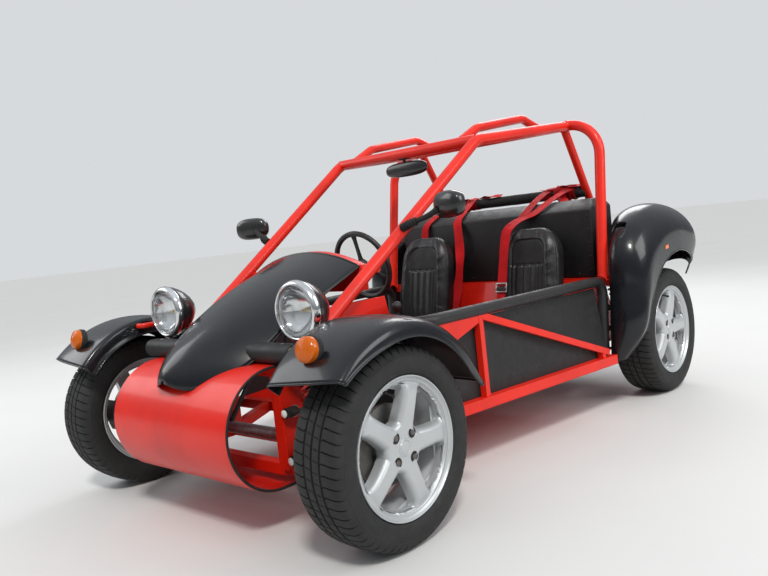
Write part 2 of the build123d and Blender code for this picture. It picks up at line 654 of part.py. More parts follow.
def ribbon(points, thickness):
    """Outline of a band of one thickness that follows points in the YZ plane, on their outer side."""
    normals = []
    for (y0, z0), (y1, z1) in zip(points, points[1:]):
        length = hypot(y1 - y0, z1 - z0)
        normals.append(((z1 - z0) / length, -(y1 - y0) / length))
    outer = []
    for index, (y, z) in enumerate(points):
        before, after = normals[max(index - 1, 0)], normals[min(index, len(normals) - 1)]
        bend = 1 + before[0] * after[0] + before[1] * after[1]
        outer.append((y + thickness * (before[0] + after[0]) / bend, z + thickness * (before[1] + after[1]) / bend))
    return list(points) + outer[::-1]


def harness_strap(x, width=50):
    """A shoulder strap from the padded bar over the storage box and down the front of the seat back."""
    bar_top = HARNESS_BAR_Z + HARNESS_BAR_TUBE / 2 - 2
    line = [(harness_bar_y() - 12, bar_top), (BOX_FRONT + 94.9, BOX_TOP + 0.3), (BOX_FRONT - 0.3, BOX_SHOULDER + 0.3),
            (SEAT_Y + 218, SEAT_BACK_TOP + 3), (SEAT_Y + 129, SEAT_BACK_TOP + 0.4), (SEAT_Y + 97, SEAT_BACK_TOP - 46),
            (SEAT_Y + 10, 137)]
    return slab(x - width / 2, width, ribbon(line, 3))


def seat(x):
    """A bucket seat: a raked back with rounded shoulders, a cushion and two runners."""
    lean = slab(x - SEAT_BACK_HALF, 2 * SEAT_BACK_HALF, [
        (SEAT_Y, 37), (SEAT_Y + 80, 37), (SEAT_Y + 215, SEAT_BACK_TOP - 46), (SEAT_Y + 190, SEAT_BACK_TOP),
        (SEAT_Y + 130, SEAT_BACK_TOP), (SEAT_Y + 100, SEAT_BACK_TOP - 46)])
    front = FilletPolyline((x - SEAT_BACK_HALF, 0, 30), (x - SEAT_BACK_HALF + 22, 0, SEAT_BACK_TOP + 0.5),
                           (x + SEAT_BACK_HALF - 22, 0, SEAT_BACK_TOP + 0.5), (x + SEAT_BACK_HALF, 0, 30), radius=75)
    outline = make_face(front + Line((x + SEAT_BACK_HALF, 0, 30), (x - SEAT_BACK_HALF, 0, 30)))
    back = lean & extrude(outline, SEAT_Y + 400, dir=(0, 1, 0))
    base = slab(x - SEAT_BASE_HALF, 2 * SEAT_BASE_HALF, [
        (SEAT_Y - 410, 7), (SEAT_Y - 385, 107), (SEAT_Y + 15, 79), (SEAT_Y + 20, -31), (SEAT_Y - 370, -31)])
    height = -31 - FLOOR_TOP
    runners = [Pos(x + side, SEAT_Y - 190, FLOOR_TOP + height / 2) * Box(30, 300, height - 2 * SEAT_GAP)
               for side in (-120, 120)]
    return [back + base] + runners


def steering_wheel():
    shapes = Torus(WHEEL_RING, WHEEL_RIM / 2) + Cylinder(30, 40)
    for angle in (0, 120, 240):
        shapes += Rot(0, 0, angle - 90) * (Pos(WHEEL_RING / 2 + 9, 0, 0) * Box(WHEEL_RING - 28, 26, 6))
    return Pos(*WHEEL_CENTRE) * Rot(COLUMN_TILT - 90, 0, 0) * shapes


def column_point(distance):
    """A point down the column from the middle of the steering wheel."""
    x, y, z = WHEEL_CENTRE
    tilt = radians(COLUMN_TILT)
    return (x, y - distance * cos(tilt), z - distance * sin(tilt))


def steering_column():
    end = column_point(COLUMN_LENGTH)
    held = column_point(COLUMN_LENGTH - 40)
    tube = rod(column_point(21), end, COLUMN_TUBE)
    lower = rod(end, (-200, RACK_Y, RACK_Z + RACK_TUBE / 2 + 1), 18)
    hanger = bar((held[0], DASH_FRONT + DASH_DEPTH + 6, DASH_LOW + 40), held, 60, 6)
    hanger += Pos(held[0] + 30, DASH_FRONT + DASH_DEPTH + SEAT_GAP + 3, DASH_LOW + 30) * Box(60, 6, 50)
    return tube + lower + hanger


def pedals():
    """Three hanging pedals on a shaft under a bracket at the dash."""
    y, z = DASH_FRONT + DASH_DEPTH + 60, DASH_LOW - 6
    pieces = [rod((-408, y, z), (-225, y, z), 18)]
    for x in (-400, -346, -236):
        pieces.append(rod((x, y, z), (x, y - 60, z - 300), 14) + Pos(x, y - 58, z - 308) * Box(50, 14, 60))
    arm = [(DASH_FRONT + DASH_DEPTH + SEAT_GAP, z - 10), (y + 6, z - 10), (y + 6, z + 10),
           (DASH_FRONT + DASH_DEPTH + SEAT_GAP, z + 40)]
    pieces.append(slab(-235, 8, arm))
    return fused(pieces)


def gear_lever():
    y, z = 850, 267
    stick = rod((0, y + 20, -31), (20, y, z), 12)
    return stick + Pos(20, y, z + 15) * Sphere(22) + Pos(0, y, (FLOOR_TOP - 3) / 2 + SEAT_GAP) * Box(
        90, 120, -3 - FLOOR_TOP)


def mirror_head(length, height, depth, bevel):
    """An oval shell on its side, with a flat face for the glass towards the driver and a rounded back."""
    shell = extrude(Plane.XZ * Ellipse(length / 2, height / 2), depth / 2, both=True)
    front_edge = shell.edges().sort_by(Axis.Y)[0]
    return fillet(front_edge, bevel)


def door_mirror():
    head = Pos(552, 578, 679) * Rot(0, 0, -20) * mirror_head(158, 96, 60, 22)
    boot = rod((380, 520, 612), (434, 541, 633), 34)
    arm = rod((434, 541, 633), (510, 566, 664), 12)
    return head + boot + arm


def interior_mirror():
    head = Pos(0, HEADER_CORNER[1] + 12, HEADER_CORNER[2] - 66) * mirror_head(236, 66, 34, 9)
    stem = rod((0, HEADER_CORNER[1] + 2, HEADER_CORNER[2]), (0, HEADER_CORNER[1] + 8, HEADER_CORNER[2] - 45), 14)
    return head + stem


# Running gear

def wishbone(axle_y, pivot_x, pivot_z, ball_x, ball_z, spread):
    """An arm of two tubes from two pivots on the frame to a boss at the ball joint."""
    pieces = [Pos(ball_x, axle_y, ball_z) * Cylinder(20, 20)]
    for offset in spread:
        y = axle_y + offset
        pieces.append(rod((pivot_x, y, pivot_z), (ball_x - 10, axle_y, ball_z), 16))
        pieces.append(rod((pivot_x, y - 18, pivot_z), (pivot_x, y + 18, pivot_z), PIVOT_TUBE))
    return fused(pieces)


def knuckle():
    """Upright with a stub axle, a steering arm that reaches back and a brake caliper in front."""
    low, high = LOWER_BALL_Z + 10 + SEAT_GAP, UPPER_BALL_Z - 10 - SEAT_GAP
    middle = TRACK_FRONT / 2
    pieces = [
        Pos(KINGPIN_X, 0, (low + high) / 2) * Cylinder(17, high - low),
        Pos(KINGPIN_X, 0, 0) * Box(34, 44, 120),
        rod((KINGPIN_X - 20, 0, 0), (middle + 14, 0, 0), 2 * HUB_RADIUS),
        bar((KINGPIN_X, 0, STEER_ARM_Z), (KINGPIN_X, RACK_Y, STEER_ARM_Z), 26, 16),
        Pos(KINGPIN_X, RACK_Y, STEER_ARM_Z) * Cylinder(EYE_RADIUS, 16),
        bar((KINGPIN_X + 10, -10, 0), (middle - 28, -CALIPER_INNER - 8, 0), 14, 50),
        caliper(middle, 90)]
    return fused(pieces)


def front_wishbones():
    lower = wishbone(0, FRONT_PIVOT_X, -71, KINGPIN_X, LOWER_BALL_Z, (-55, 55))
    upper = wishbone(0, FRONT_PIVOT_X, 82, KINGPIN_X, UPPER_BALL_Z, (-60, 60))
    return both(lower) + both(upper)


def coil_over(low, high):
    """Damper body, rod and spring sleeve between two eyes."""
    foot, along = Vector(*low), Vector(*high) - Vector(*low)
    pieces = [rod(low, high, 16), rod(low, tuple(foot + along * 0.55), 40),
              rod(tuple(foot + along * 0.28), tuple(foot + along * 0.88), SPRING_DIAMETER)]
    for end in (low, high):
        pieces.append(Pos(*end) * Rot(90, 0, 0) * Cylinder(EYE_RADIUS, 30))
    return fused(pieces)


def dampers():
    front = coil_over((500, 0, -74), (NOSE_PLATE_X + PLATE + SEAT_GAP + EYE_RADIUS, 0, 207))
    y = WHEELBASE + 61
    rear = coil_over((515, y, -68), (REAR_PLATE_X + SEAT_GAP + EYE_RADIUS, y, REAR_TOP_Z - 8))
    return both(front) + both(rear)


def steering_rack():
    """The rack's housing, held by a clamp on each lower nose rail."""
    housing = rod((-RACK_HALF, RACK_Y, RACK_Z), (RACK_HALF, RACK_Y, RACK_Z), RACK_TUBE)
    foot = NOSE_LOW_Z + FRAME_HALF + SEAT_GAP
    height = RACK_Z + RACK_TUBE / 2 - foot
    clamp = Pos(NOSE_BOX_HALF - 24, RACK_Y, foot + height / 2) * Box(36, 50, height)
    bore = rod((-NOSE_BOX_HALF, RACK_Y, RACK_Z), (NOSE_BOX_HALF, RACK_Y, RACK_Z), ROD_DIAMETER + 2 * SEAT_GAP)
    return housing + clamp + mirrored(clamp) - bore


def track_rods():
    """The rack's bar with a rod and an eye at each end."""
    eye = 18
    eye_z = STEER_ARM_Z - 8 - SEAT_GAP - eye / 2
    pieces = [rod((-400, RACK_Y, RACK_Z), (400, RACK_Y, RACK_Z), ROD_DIAMETER)]
    for side in (1, -1):
        pieces.append(rod((side * 400, RACK_Y, RACK_Z), (side * (KINGPIN_X - 5), RACK_Y, eye_z), 16))
        pieces.append(Pos(side * KINGPIN_X, RACK_Y, eye_z) * Cylinder(EYE_RADIUS - 1, eye))
    return fused(pieces)


def rear_arms():
    """Wishbones, upright, half shaft and brake caliper of each rear wheel."""
    y = WHEELBASE
    middle = TRACK_REAR / 2
    gearbox_face = 317.3
    pieces = [
        wishbone(y, REAR_PIVOT_X, -71, REAR_BALL_X, LOWER_BALL_Z, (-130, 130)),
        wishbone(y, REAR_PIVOT_X, 107, REAR_BALL_X, UPPER_BALL_Z, (-110, -20)),
        Pos(REAR_BALL_X, y, 0) * Box(34, 44, UPPER_BALL_Z - LOWER_BALL_Z),
        rod((REAR_BALL_X - 30, y, 0), (middle + 14, y, 0), 2 * HUB_RADIUS),
        bar((REAR_BALL_X + 10, y + 10, 0), (middle - 28, y + CALIPER_INNER + 8, 0), 14, 50),
        Pos(0, y, 0) * caliper(middle, -90)]
    shaft = rod((gearbox_face, y, 0), (REAR_BALL_X - 30, y, 0), 26)
    boot = rod((gearbox_face, y, 0), (376, y, 0), 80)
    return both(fused(pieces + [shaft, boot]))


def engine_block():
    y = WHEELBASE + 32
    reach = REAR_FRAME_HALF - FRAME_HALF - SEAT_GAP
    mounts = Pos(0, y + 90, SILL_Z) * Box(2 * reach, 60, 30)
    return Pos(0, y, 117) * Box(560, 300, 300) + Pos(0, y, -23) * Box(634, 260, 100) + mounts


def exhaust():
    y, z = REAR_FRAME_END + SILENCER_DIAMETER / 2, 37
    silencer = rod((-220, y, z), (220, y, z), SILENCER_DIAMETER)
    tail = rod((200, y, z - 30), (200, WHEELBASE + TAIL_REACH - 15, z - 50), 45)
    pipe = rod((-120, WHEELBASE + 182 + SEAT_GAP, z), (-120, y - 40, z), 45)
    return silencer + tail + pipe


def rear_lamp():
    return rod((690, WHEELBASE + 372, 396), (690, WHEELBASE + 322, 396), 90)


def front_indicator():
    return Pos(655, -226, 321) * Rot(90, 0, 0) * Cylinder(40, 30)


def save_cage(frame):
    """Saves the tubes above the frame, each cut where it meets the one that runs through."""
    rails, hoop, sides = waist_rails(), main_hoop(), cage_rails()
    both_rails, both_sides = fused(rails), fused(sides)
    save("waist_rails", *[rail - frame for rail in rails])
    save("main_hoop", hoop - both_rails - frame)
    save("cage_rails", *[side - hoop - both_rails - frame for side in sides])
    save("side_trusses", *[truss - frame - both_rails for truss in side_trusses()])
    bars = roof_bars()
    save("roof_bars", bars - hoop - both_sides)
    save("harness_bar", harness_bar() - hoop)
    save("dashboard", *[sheet - both_sides - both_rails for sheet in dashboard()])
    save("mirrors", *both(door_mirror() - sides[0]), interior_mirror() - bars)


def save_bodywork(frame):
    wing, fender = front_wing() - frame, rear_fender() - frame
    pods = headlamp_bar()
    save("side_panels", *side_panels())
    save("floor_and_bulkhead", floor_pan(), bulkhead())
    save("nose_cowl", nose_cowl())
    save("bonnet", bonnet(pods))
    save("headlamp_bar", pods)
    save("headlamps", *[lamp - pods for lamp in both(headlamp())])
    save("headlamp_lenses", *both(headlamp_lens()))
    save("front_wings", *both(wing))
    save("front_indicators", *both(largest(front_indicator() - wing)))
    save("rear_fenders", *both(fender))
    save("rear_lamps", *both(largest(rear_lamp() - fender)))
    save("storage_box", storage_box())


def save_cabin():
    rack = steering_rack()
    save("steering_rack", rack)
    save("steering_column", steering_column() - rack)
    save("steering_wheel", steering_wheel())
    save("driver_controls", pedals(), gear_lever())
    save("driver_seat", *seat(-SEAT_X))
    save("passenger_seat", *seat(SEAT_X))
    save("harnesses", *[harness_strap(side * SEAT_X + offset) for side in (-1, 1) for offset in (-62, 62)])


def save_running_gear():
    save("front_wishbones", *front_wishbones())
    save("knuckle_left", knuckle())
    save("knuckle_right", mirrored(knuckle()))
    save("dampers", *dampers())
    save("track_rods", track_rods())
    save("rear_arms", *rear_arms())
    save("engine_block", engine_block())
    save("exhaust", exhaust())


def main():
    os.makedirs("parts", exist_ok=True)
    frame = chassis_frame()
    save("chassis_frame", frame)
    save_cage(frame)
    save_bodywork(frame)
    save_cabin()
    save_running_gear()
    save_wheels()


main()
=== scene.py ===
import json
import math

import bmesh
import bpy
import numpy as np
from mathutils import Matrix, Vector
from mathutils.bvhtree import BVHTree


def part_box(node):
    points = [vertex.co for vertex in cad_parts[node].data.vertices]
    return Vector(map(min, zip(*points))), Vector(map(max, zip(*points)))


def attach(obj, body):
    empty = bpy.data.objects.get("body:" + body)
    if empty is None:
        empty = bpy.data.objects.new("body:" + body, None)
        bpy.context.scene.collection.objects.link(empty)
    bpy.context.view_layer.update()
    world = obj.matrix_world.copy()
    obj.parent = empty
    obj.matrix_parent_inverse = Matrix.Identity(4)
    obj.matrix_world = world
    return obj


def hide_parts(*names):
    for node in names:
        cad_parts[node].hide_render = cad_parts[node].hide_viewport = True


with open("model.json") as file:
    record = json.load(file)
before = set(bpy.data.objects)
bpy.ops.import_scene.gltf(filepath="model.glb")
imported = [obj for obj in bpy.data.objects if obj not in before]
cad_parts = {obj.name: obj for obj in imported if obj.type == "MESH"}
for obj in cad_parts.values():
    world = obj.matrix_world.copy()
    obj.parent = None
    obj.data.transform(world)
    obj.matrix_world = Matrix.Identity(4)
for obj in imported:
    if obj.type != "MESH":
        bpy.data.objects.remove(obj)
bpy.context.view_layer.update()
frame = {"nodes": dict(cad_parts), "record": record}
NODES = frame["nodes"]

# Both axles and the hub height, from the tyres of the frame
TYRE_BOX = {corner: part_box("tyre_" + corner) for corner in ("front_left", "rear_left")}
FRONT_AXLE_Y = (TYRE_BOX["front_left"][0].y + TYRE_BOX["front_left"][1].y) / 2
REAR_AXLE_Y = (TYRE_BOX["rear_left"][0].y + TYRE_BOX["rear_left"][1].y) / 2
HUB_Z = (TYRE_BOX["front_left"][0].z + TYRE_BOX["front_left"][1].z) / 2


# Materials

class Shade:
    """A material's node tree with short calls for the nodes used here."""

    def __init__(self, name):
        self.material = bpy.data.materials.new(name)
        self.material.use_nodes = True
        self.tree = self.material.node_tree
        self.bsdf = self.tree.nodes["Principled BSDF"]
        self.place = self.add("ShaderNodeTexCoord").outputs["Object"]

    def add(self, kind, **settings):
        node = self.tree.nodes.new(kind)
        for key, value in settings.items():
            setattr(node, key, value)
        return node

    def link(self, out, socket):
        self.tree.links.new(out, socket)

    def set(self, **values):
        for key, value in values.items():
            self.bsdf.inputs[key.replace("_", " ")].default_value = value

    def noise(self, scale, detail=3.0, roughness=0.5, stretch=None):
        node = self.add("ShaderNodeTexNoise")
        node.inputs["Scale"].default_value = scale
        node.inputs["Detail"].default_value = detail
        node.inputs["Roughness"].default_value = roughness
        self.link(self.scaled(stretch), node.inputs["Vector"])
        return node.outputs["Fac"]

    def scaled(self, stretch):
        if not stretch:
            return self.place
        node = self.add("ShaderNodeMapping")
        node.inputs["Scale"].default_value = stretch
        self.link(self.place, node.inputs["Vector"])
        return node.outputs["Vector"]

    def cells(self, scale):
        """Distance to the edges of small cells, for the grain of leather."""
        node = self.add("ShaderNodeTexVoronoi", feature="DISTANCE_TO_EDGE")
        node.inputs["Scale"].default_value = scale
        self.link(self.place, node.inputs["Vector"])
        return node.outputs["Distance"]

    def wave(self, scale, axis="X", distortion=0.0):
        node = self.add("ShaderNodeTexWave", bands_direction=axis)
        node.inputs["Scale"].default_value = scale
        node.inputs["Distortion"].default_value = distortion
        self.link(self.place, node.inputs["Vector"])
        return node.outputs["Fac"]

    def ramp(self, source, low, high, dark, light):
        """The source, with low to high mapped to dark to light and held at both ends."""
        node = self.add("ShaderNodeMapRange", clamp=True)
        for key, value in zip(("From Min", "From Max", "To Min", "To Max"), (low, high, dark, light)):
            node.inputs[key].default_value = value
        self.link(source, node.inputs["Value"])
        return node.outputs["Result"]

    def math(self, operation, first, second):
        node = self.add("ShaderNodeMath", operation=operation)
        for socket, value in zip(node.inputs, (first, second)):
            if isinstance(value, (int, float)):
                socket.default_value = value
            else:
                self.link(value, socket)
        return node.outputs[0]

    def mix(self, factor, first, second):
        node = self.add("ShaderNodeMix", data_type="RGBA")
        colours = [socket for socket in node.inputs if socket.type == "RGBA"]
        self.link(factor, node.inputs["Factor"])
        for socket, value in zip(colours, (first, second)):
            if isinstance(value, tuple):
                socket.default_value = (*value, 1)
            else:
                self.link(value, socket)
        return [out for out in node.outputs if out.type == "RGBA"][0]

    def colour(self, out):
        self.link(out, self.bsdf.inputs["Base Color"])

    def patched(self, noise, low, high, first, second):
        """Goes from the first colour to the second where the noise rises from low to high."""
        self.colour(self.mix(self.ramp(noise, low, high, 0.0, 1.0), first, second))

    def vary_roughness(self, noise, low, high, least, most):
        self.link(self.ramp(noise, low, high, least, most), self.bsdf.inputs["Roughness"])

    def bump(self, height, distance, strength=1.0, after=None):
        node = self.add("ShaderNodeBump")
        node.inputs["Distance"].default_value = distance
        node.inputs["Strength"].default_value = strength
        self.link(height, node.inputs["Height"])
        if after:
            self.link(after, node.inputs["Normal"])
        self.link(node.outputs["Normal"], self.bsdf.inputs["Normal"])
        return node.outputs["Normal"]


def gloss_paint(name, colour, deep, roughness=0.22, coat=0.9, specular=0.4):
    """Sprayed paint under a clear coat, with faint orange peel and dusty patches."""
    s = Shade(name)
    s.patched(s.noise(5.0, 5.0, 0.65), 0.42, 0.72, colour, deep)
    s.vary_roughness(s.noise(9.0, 4.0), 0.3, 0.8, roughness, roughness + 0.12)
    s.bump(s.noise(420.0, 2.0), 0.0006, 0.10)
    s.set(Coat_Weight=coat, Coat_Roughness=0.10, Specular_IOR_Level=specular)
    return s.material


def satin_black(name, colour, roughness, grain, depth):
    s = Shade(name)
    s.patched(s.noise(14.0, 5.0, 0.7), 0.5, 0.8, colour, tuple(c * 1.6 + 0.002 for c in colour))
    s.vary_roughness(s.noise(30.0, 3.0), 0.3, 0.7, roughness, roughness + 0.15)
    s.bump(s.noise(grain, 3.0), depth, 0.35)
    return s.material


def metal(name, colour, roughness, grain=60.0, metallic=1.0):
    s = Shade(name)
    s.set(Metallic=metallic)
    s.patched(s.noise(grain, 4.0, 0.6), 0.35, 0.75, colour, tuple(c * 0.72 for c in colour))
    s.vary_roughness(s.noise(grain * 2, 3.0), 0.3, 0.7, roughness, roughness + 0.14)
    s.bump(s.noise(grain * 9, 2.0), 0.0004, 0.2)
    return s.material


def silver_paint(name, colour):
    """Even metallic paint with a fine sparkle."""
    s = Shade(name)
    s.patched(s.noise(1500.0, 1.0), 0.35, 0.75, tuple(c * 0.90 for c in colour), tuple(min(1.0, c * 1.12)
                                                                                       for c in colour))
    s.vary_roughness(s.noise(600.0, 1.0), 0.3, 0.7, 0.36, 0.44)
    s.bump(s.noise(300.0, 2.0), 0.0003, 0.08)
    s.set(Metallic=0.45, Coat_Weight=0.25, Coat_Roughness=0.15)
    return s.material


def material_set():
    red, red_deep = (0.76, 0.018, 0.005), (0.62, 0.014, 0.005)
    return {
        "frame_red": gloss_paint("frame red", red, red_deep, 0.36, 0.22, 0.3),
        "cowl_red": gloss_paint("cowl red", (0.72, 0.014, 0.004), (0.58, 0.012, 0.005), 0.34, 0.22, 0.3),
        "rail_black": satin_black("rail black", (0.012, 0.012, 0.013), 0.42, 90.0, 0.0012),
        "panel_black": satin_black("panel black", (0.009, 0.009, 0.010), 0.50, 260.0, 0.0010),
        "body_black": gloss_paint("body black", (0.004, 0.005, 0.007), (0.008, 0.009, 0.012),
                                  0.22, 0.40, 0.28),
        "box_black": satin_black("box black", (0.005, 0.005, 0.006), 0.44, 500.0, 0.0008),
        "chrome": metal("chrome", (0.86, 0.87, 0.88), 0.06, 20.0),
        "lens_clear": metal("lens back", (0.80, 0.82, 0.84), 0.12, 30.0),
        "lens_amber": gloss_paint("amber", (0.80, 0.16, 0.01), (0.60, 0.10, 0.01), 0.2),
        "lens_red": gloss_paint("red lens", (0.5, 0.01, 0.01), (0.35, 0.01, 0.01), 0.2),
        "pad_black": satin_black("pad black", (0.012, 0.012, 0.012), 0.7, 300.0, 0.002),
        "webbing_red": satin_black("webbing", (0.55, 0.012, 0.018), 0.7, 300.0, 0.002),
        "seat_leather": satin_black("seat leather", (0.012, 0.012, 0.013), 0.36, 700.0, 0.001),
        "wheel_grip": satin_black("wheel grip", (0.012, 0.012, 0.013), 0.45, 700.0, 0.001),
        "control_black": satin_black("control black", (0.014, 0.014, 0.015), 0.5, 300.0, 0.001),
        "mirror_black": gloss_paint("mirror black", (0.010, 0.010, 0.011), (0.02, 0.02, 0.02), 0.25, 0.6),
        "arm_black": satin_black("arm black", (0.014, 0.014, 0.014), 0.5, 200.0, 0.001),
        "knuckle_iron": metal("knuckle iron", (0.16, 0.15, 0.14), 0.55, 40.0, 0.7),
        "damper": gloss_paint("damper", (0.5, 0.03, 0.02), (0.3, 0.02, 0.02), 0.3, 0.4),
        "rack_alloy": metal("rack alloy", (0.45, 0.45, 0.46), 0.45, 60.0, 0.9),
        "engine": metal("engine", (0.10, 0.10, 0.105), 0.6, 30.0, 0.5),
        "steel": metal("steel", (0.42, 0.41, 0.40), 0.4, 60.0),
        "tyre": satin_black("tyre", (0.013, 0.013, 0.013), 0.66, 300.0, 0.0008),
        "rim": silver_paint("rim silver", (0.50, 0.52, 0.53)),
        "disc": metal("disc", (0.34, 0.33, 0.32), 0.38, 40.0, 0.9),
    }


MATERIALS = material_set()
# Black for parts that are black; it also paints the shade in the wheels' bolt recesses.
BLACK_AND_PAINTED_SHADE = satin_black("black and painted shade", (0.006, 0.006, 0.006), 0.6, 200.0, 0.001)
STEEL = metal("zinc bolt", (0.56, 0.56, 0.55), 0.32, 60.0)


def finish_cad_nodes():
    slots = {part["node"]: part["material_slot"] for part in frame["record"]["subparts"]}
    for name, node in NODES.items():
        node.data.materials.clear()
        node.data.materials.append(MATERIALS[slots[name]])
        node.data.polygons.foreach_set("material_index", [0] * len(node.data.polygons))


# Places and shapes

LEFT, BACK, UP, FRONT = (1, 0, 0), (0, 1, 0), (0, 0, 1), (0, -1, 0)


def at(x, y, z):
    """A point from millimetres: to the left, behind the front axle, above the axles."""
    return Vector((x / 1000, FRONT_AXLE_Y + y / 1000, HUB_Z + z / 1000))


def rear(x, y, z):
    """A point from millimetres, with y counted from the rear axle."""
    return Vector((x / 1000, REAR_AXLE_Y + y / 1000, HUB_Z + z / 1000))


def grid(rows, columns, wrap_rows=False, wrap_columns=False):
    """Quads over points that are listed row by row."""
    faces = []
    for r in range(rows if wrap_rows else rows - 1):
        for c in range(columns if wrap_columns else columns - 1):
            r2, c2 = (r + 1) % rows, (c + 1) % columns
            faces.append((r * columns + c, r * columns + c2, r2 * columns + c2, r2 * columns + c))
    return faces


def squared(value, power):
    """A sine or cosine pushed outwards, which turns a circle into a rounded square."""
    return math.copysign(abs(value) ** power, value)


def round_angles(count):
    return [2 * math.pi * k / count for k in range(count)]


def lathe(profile, centre, axis, segments=48):
    """Points and faces of a profile of (along, radius) turned about an axis through a centre."""
    axis = Vector(axis).normalized()
    side = axis.orthogonal().normalized()
    up = axis.cross(side)
    points = []
    for along, radius in profile:
        for index in range(segments):
            a = math.radians(360.0 * index / segments)
            points.append(Vector(centre) + axis * along + (side * math.cos(a) + up * math.sin(a)) * radius)
    return points, grid(len(profile), segments, wrap_columns=True)


def curve_point(p, t):
    """The point a share t on from the second to the third of four, on a smooth curve through them."""
    return 0.5 * ((2 * p[1]) + (p[2] - p[0]) * t + (2 * p[0] - 5 * p[1] + 4 * p[2] - p[3]) * t * t
                  + (3 * p[1] - p[0] - 3 * p[2] + p[3]) * t ** 3)


def spline(points, count, closed=False):
    """Evenly numbered points on a smooth curve through the given ones."""
    given = [Vector(p) for p in points]
    n = len(given)
    spans = n if closed else n - 1
    found = []
    for index in range(count if closed else count + 1):
        place = index / count * spans
        k = min(int(place), spans - 1)
        if closed:
            p = [given[(k + step) % n] for step in (-1, 0, 1, 2)]
        else:
            p = [given[max(0, min(n - 1, k + step))] for step in (-1, 0, 1, 2)]
        found.append(curve_point(p, place - k))
    return found


def rounded_corners(points, radius, steps=6):
    """A polyline whose inner corners are turned into short arcs."""
    given = [Vector(p) for p in points]
    found = [given[0]]
    for before, corner, after in zip(given, given[1:], given[2:]):
        a, b = (before - corner), (after - corner)
        reach = min(radius, a.length * 0.48, b.length * 0.48)
        first, last = corner + a.normalized() * reach, corner + b.normalized() * reach
        for step in range(steps + 1):
            t = step / steps
            found.append(first * (1 - t) ** 2 + corner * 2 * t * (1 - t) + last * t * t)
    return found + [given[-1]]


def sweep(path, section, closed=False, caps=True, scale=None):
    """A section of (across, out) points carried along a path without twisting."""
    path = [Vector(p) for p in path]
    n = len(path)
    tangents = []
    for i in range(n):
        ahead = path[(i + 1) % n] if closed or i + 1 < n else path[i]
        behind = path[i - 1] if closed or i > 0 else path[i]
        tangents.append((ahead - behind).normalized())
    normal = tangents[0].orthogonal()
    points = []
    for i, (place, tangent) in enumerate(zip(path, tangents)):
        normal = (normal - tangent * normal.dot(tangent)).normalized()
        across = tangent.cross(normal)
        size = scale[i] if scale else 1.0
        points += [place + (across * a + normal * b) * size for a, b in section]
    m = len(section)
    faces = grid(n, m, wrap_rows=closed, wrap_columns=True)
    if caps and not closed:
        faces += [tuple(reversed(range(m))), tuple(range((n - 1) * m, n * m))]
    return points, faces


def ring_section(radius, sides=16):
    return [(radius * math.cos(a), radius * math.sin(a)) for a in round_angles(sides)]


def strap_section(width, thick):
    """A flat band with round edges and slightly raised selvedges."""
    half, edge = width / 2, thick / 2
    return [(-half, -edge * 0.4), (-half + edge, -edge), (-half + 3 * edge, -edge * 0.7),
            (half - 3 * edge, -edge * 0.7), (half - edge, -edge), (half, -edge * 0.4), (half, edge * 0.4),
            (half - edge, edge), (half - 3 * edge, edge * 0.7), (-half + 3 * edge, edge * 0.7),
            (-half + edge, edge), (-half, edge * 0.4)]


def tube(path, radius, sides=16, closed=False):
    return sweep(path, ring_section(radius, sides), closed)


def taken(shape, matrix=None):
    """The points and faces of a bmesh, which is freed."""
    shape.verts.index_update()
    points = [matrix @ v.co if matrix else v.co.copy() for v in shape.verts]
    faces = [tuple(v.index for v in f.verts) for f in shape.faces]
    shape.free()
    return points, faces


def rounded_block(centre, size, bevel, turn=None):
    """A box with rounded edges."""
    shape = bmesh.new()
    bmesh.ops.create_cube(shape, size=1.0)
    bmesh.ops.scale(shape, vec=Vector(size), verts=shape.verts)
    bmesh.ops.bevel(shape, geom=shape.edges[:], offset=bevel, segments=3, profile=0.5, affect="EDGES")
    matrix = (turn or Matrix.Identity(3)).to_4x4()
    matrix.translation = Vector(centre)
    return taken(shape, matrix)


def plate(outline, out, thick, bevel):
    """A flat plate from its outline in space, thickened along out, with softened edges."""
    shape = bmesh.new()
    face = shape.faces.new([shape.verts.new(Vector(p)) for p in outline])
    made = bmesh.ops.extrude_face_region(shape, geom=[face])
    raised = [g for g in made["geom"] if isinstance(g, bmesh.types.BMVert)]
    bmesh.ops.translate(shape, vec=Vector(out).normalized() * thick, verts=raised)
    bmesh.ops.recalc_face_normals(shape, faces=shape.faces[:])
    edges = [e for e in shape.edges if e.calc_face_angle(0) > 0.5]
    bmesh.ops.bevel(shape, geom=edges, offset=bevel, segments=2, profile=0.5, affect="EDGES")
    return taken(shape)


def hex_bolt(centre, out, across=0.013, high=0.006, washer=True):
    """A bolt head with a chamfered crown on a washer."""
    shapes = [lathe([(0, 0), (0, across * 0.577), (high * 0.8, across * 0.577), (high, across * 0.5),
                     (high, 0)], Vector(centre), out, 6)]
    if washer:
        shapes.append(lathe([(0, 0), (0, across * 0.85), (0.0014, across * 0.82), (0.0016, 0)],
                            Vector(centre), out, 20))
    return shapes


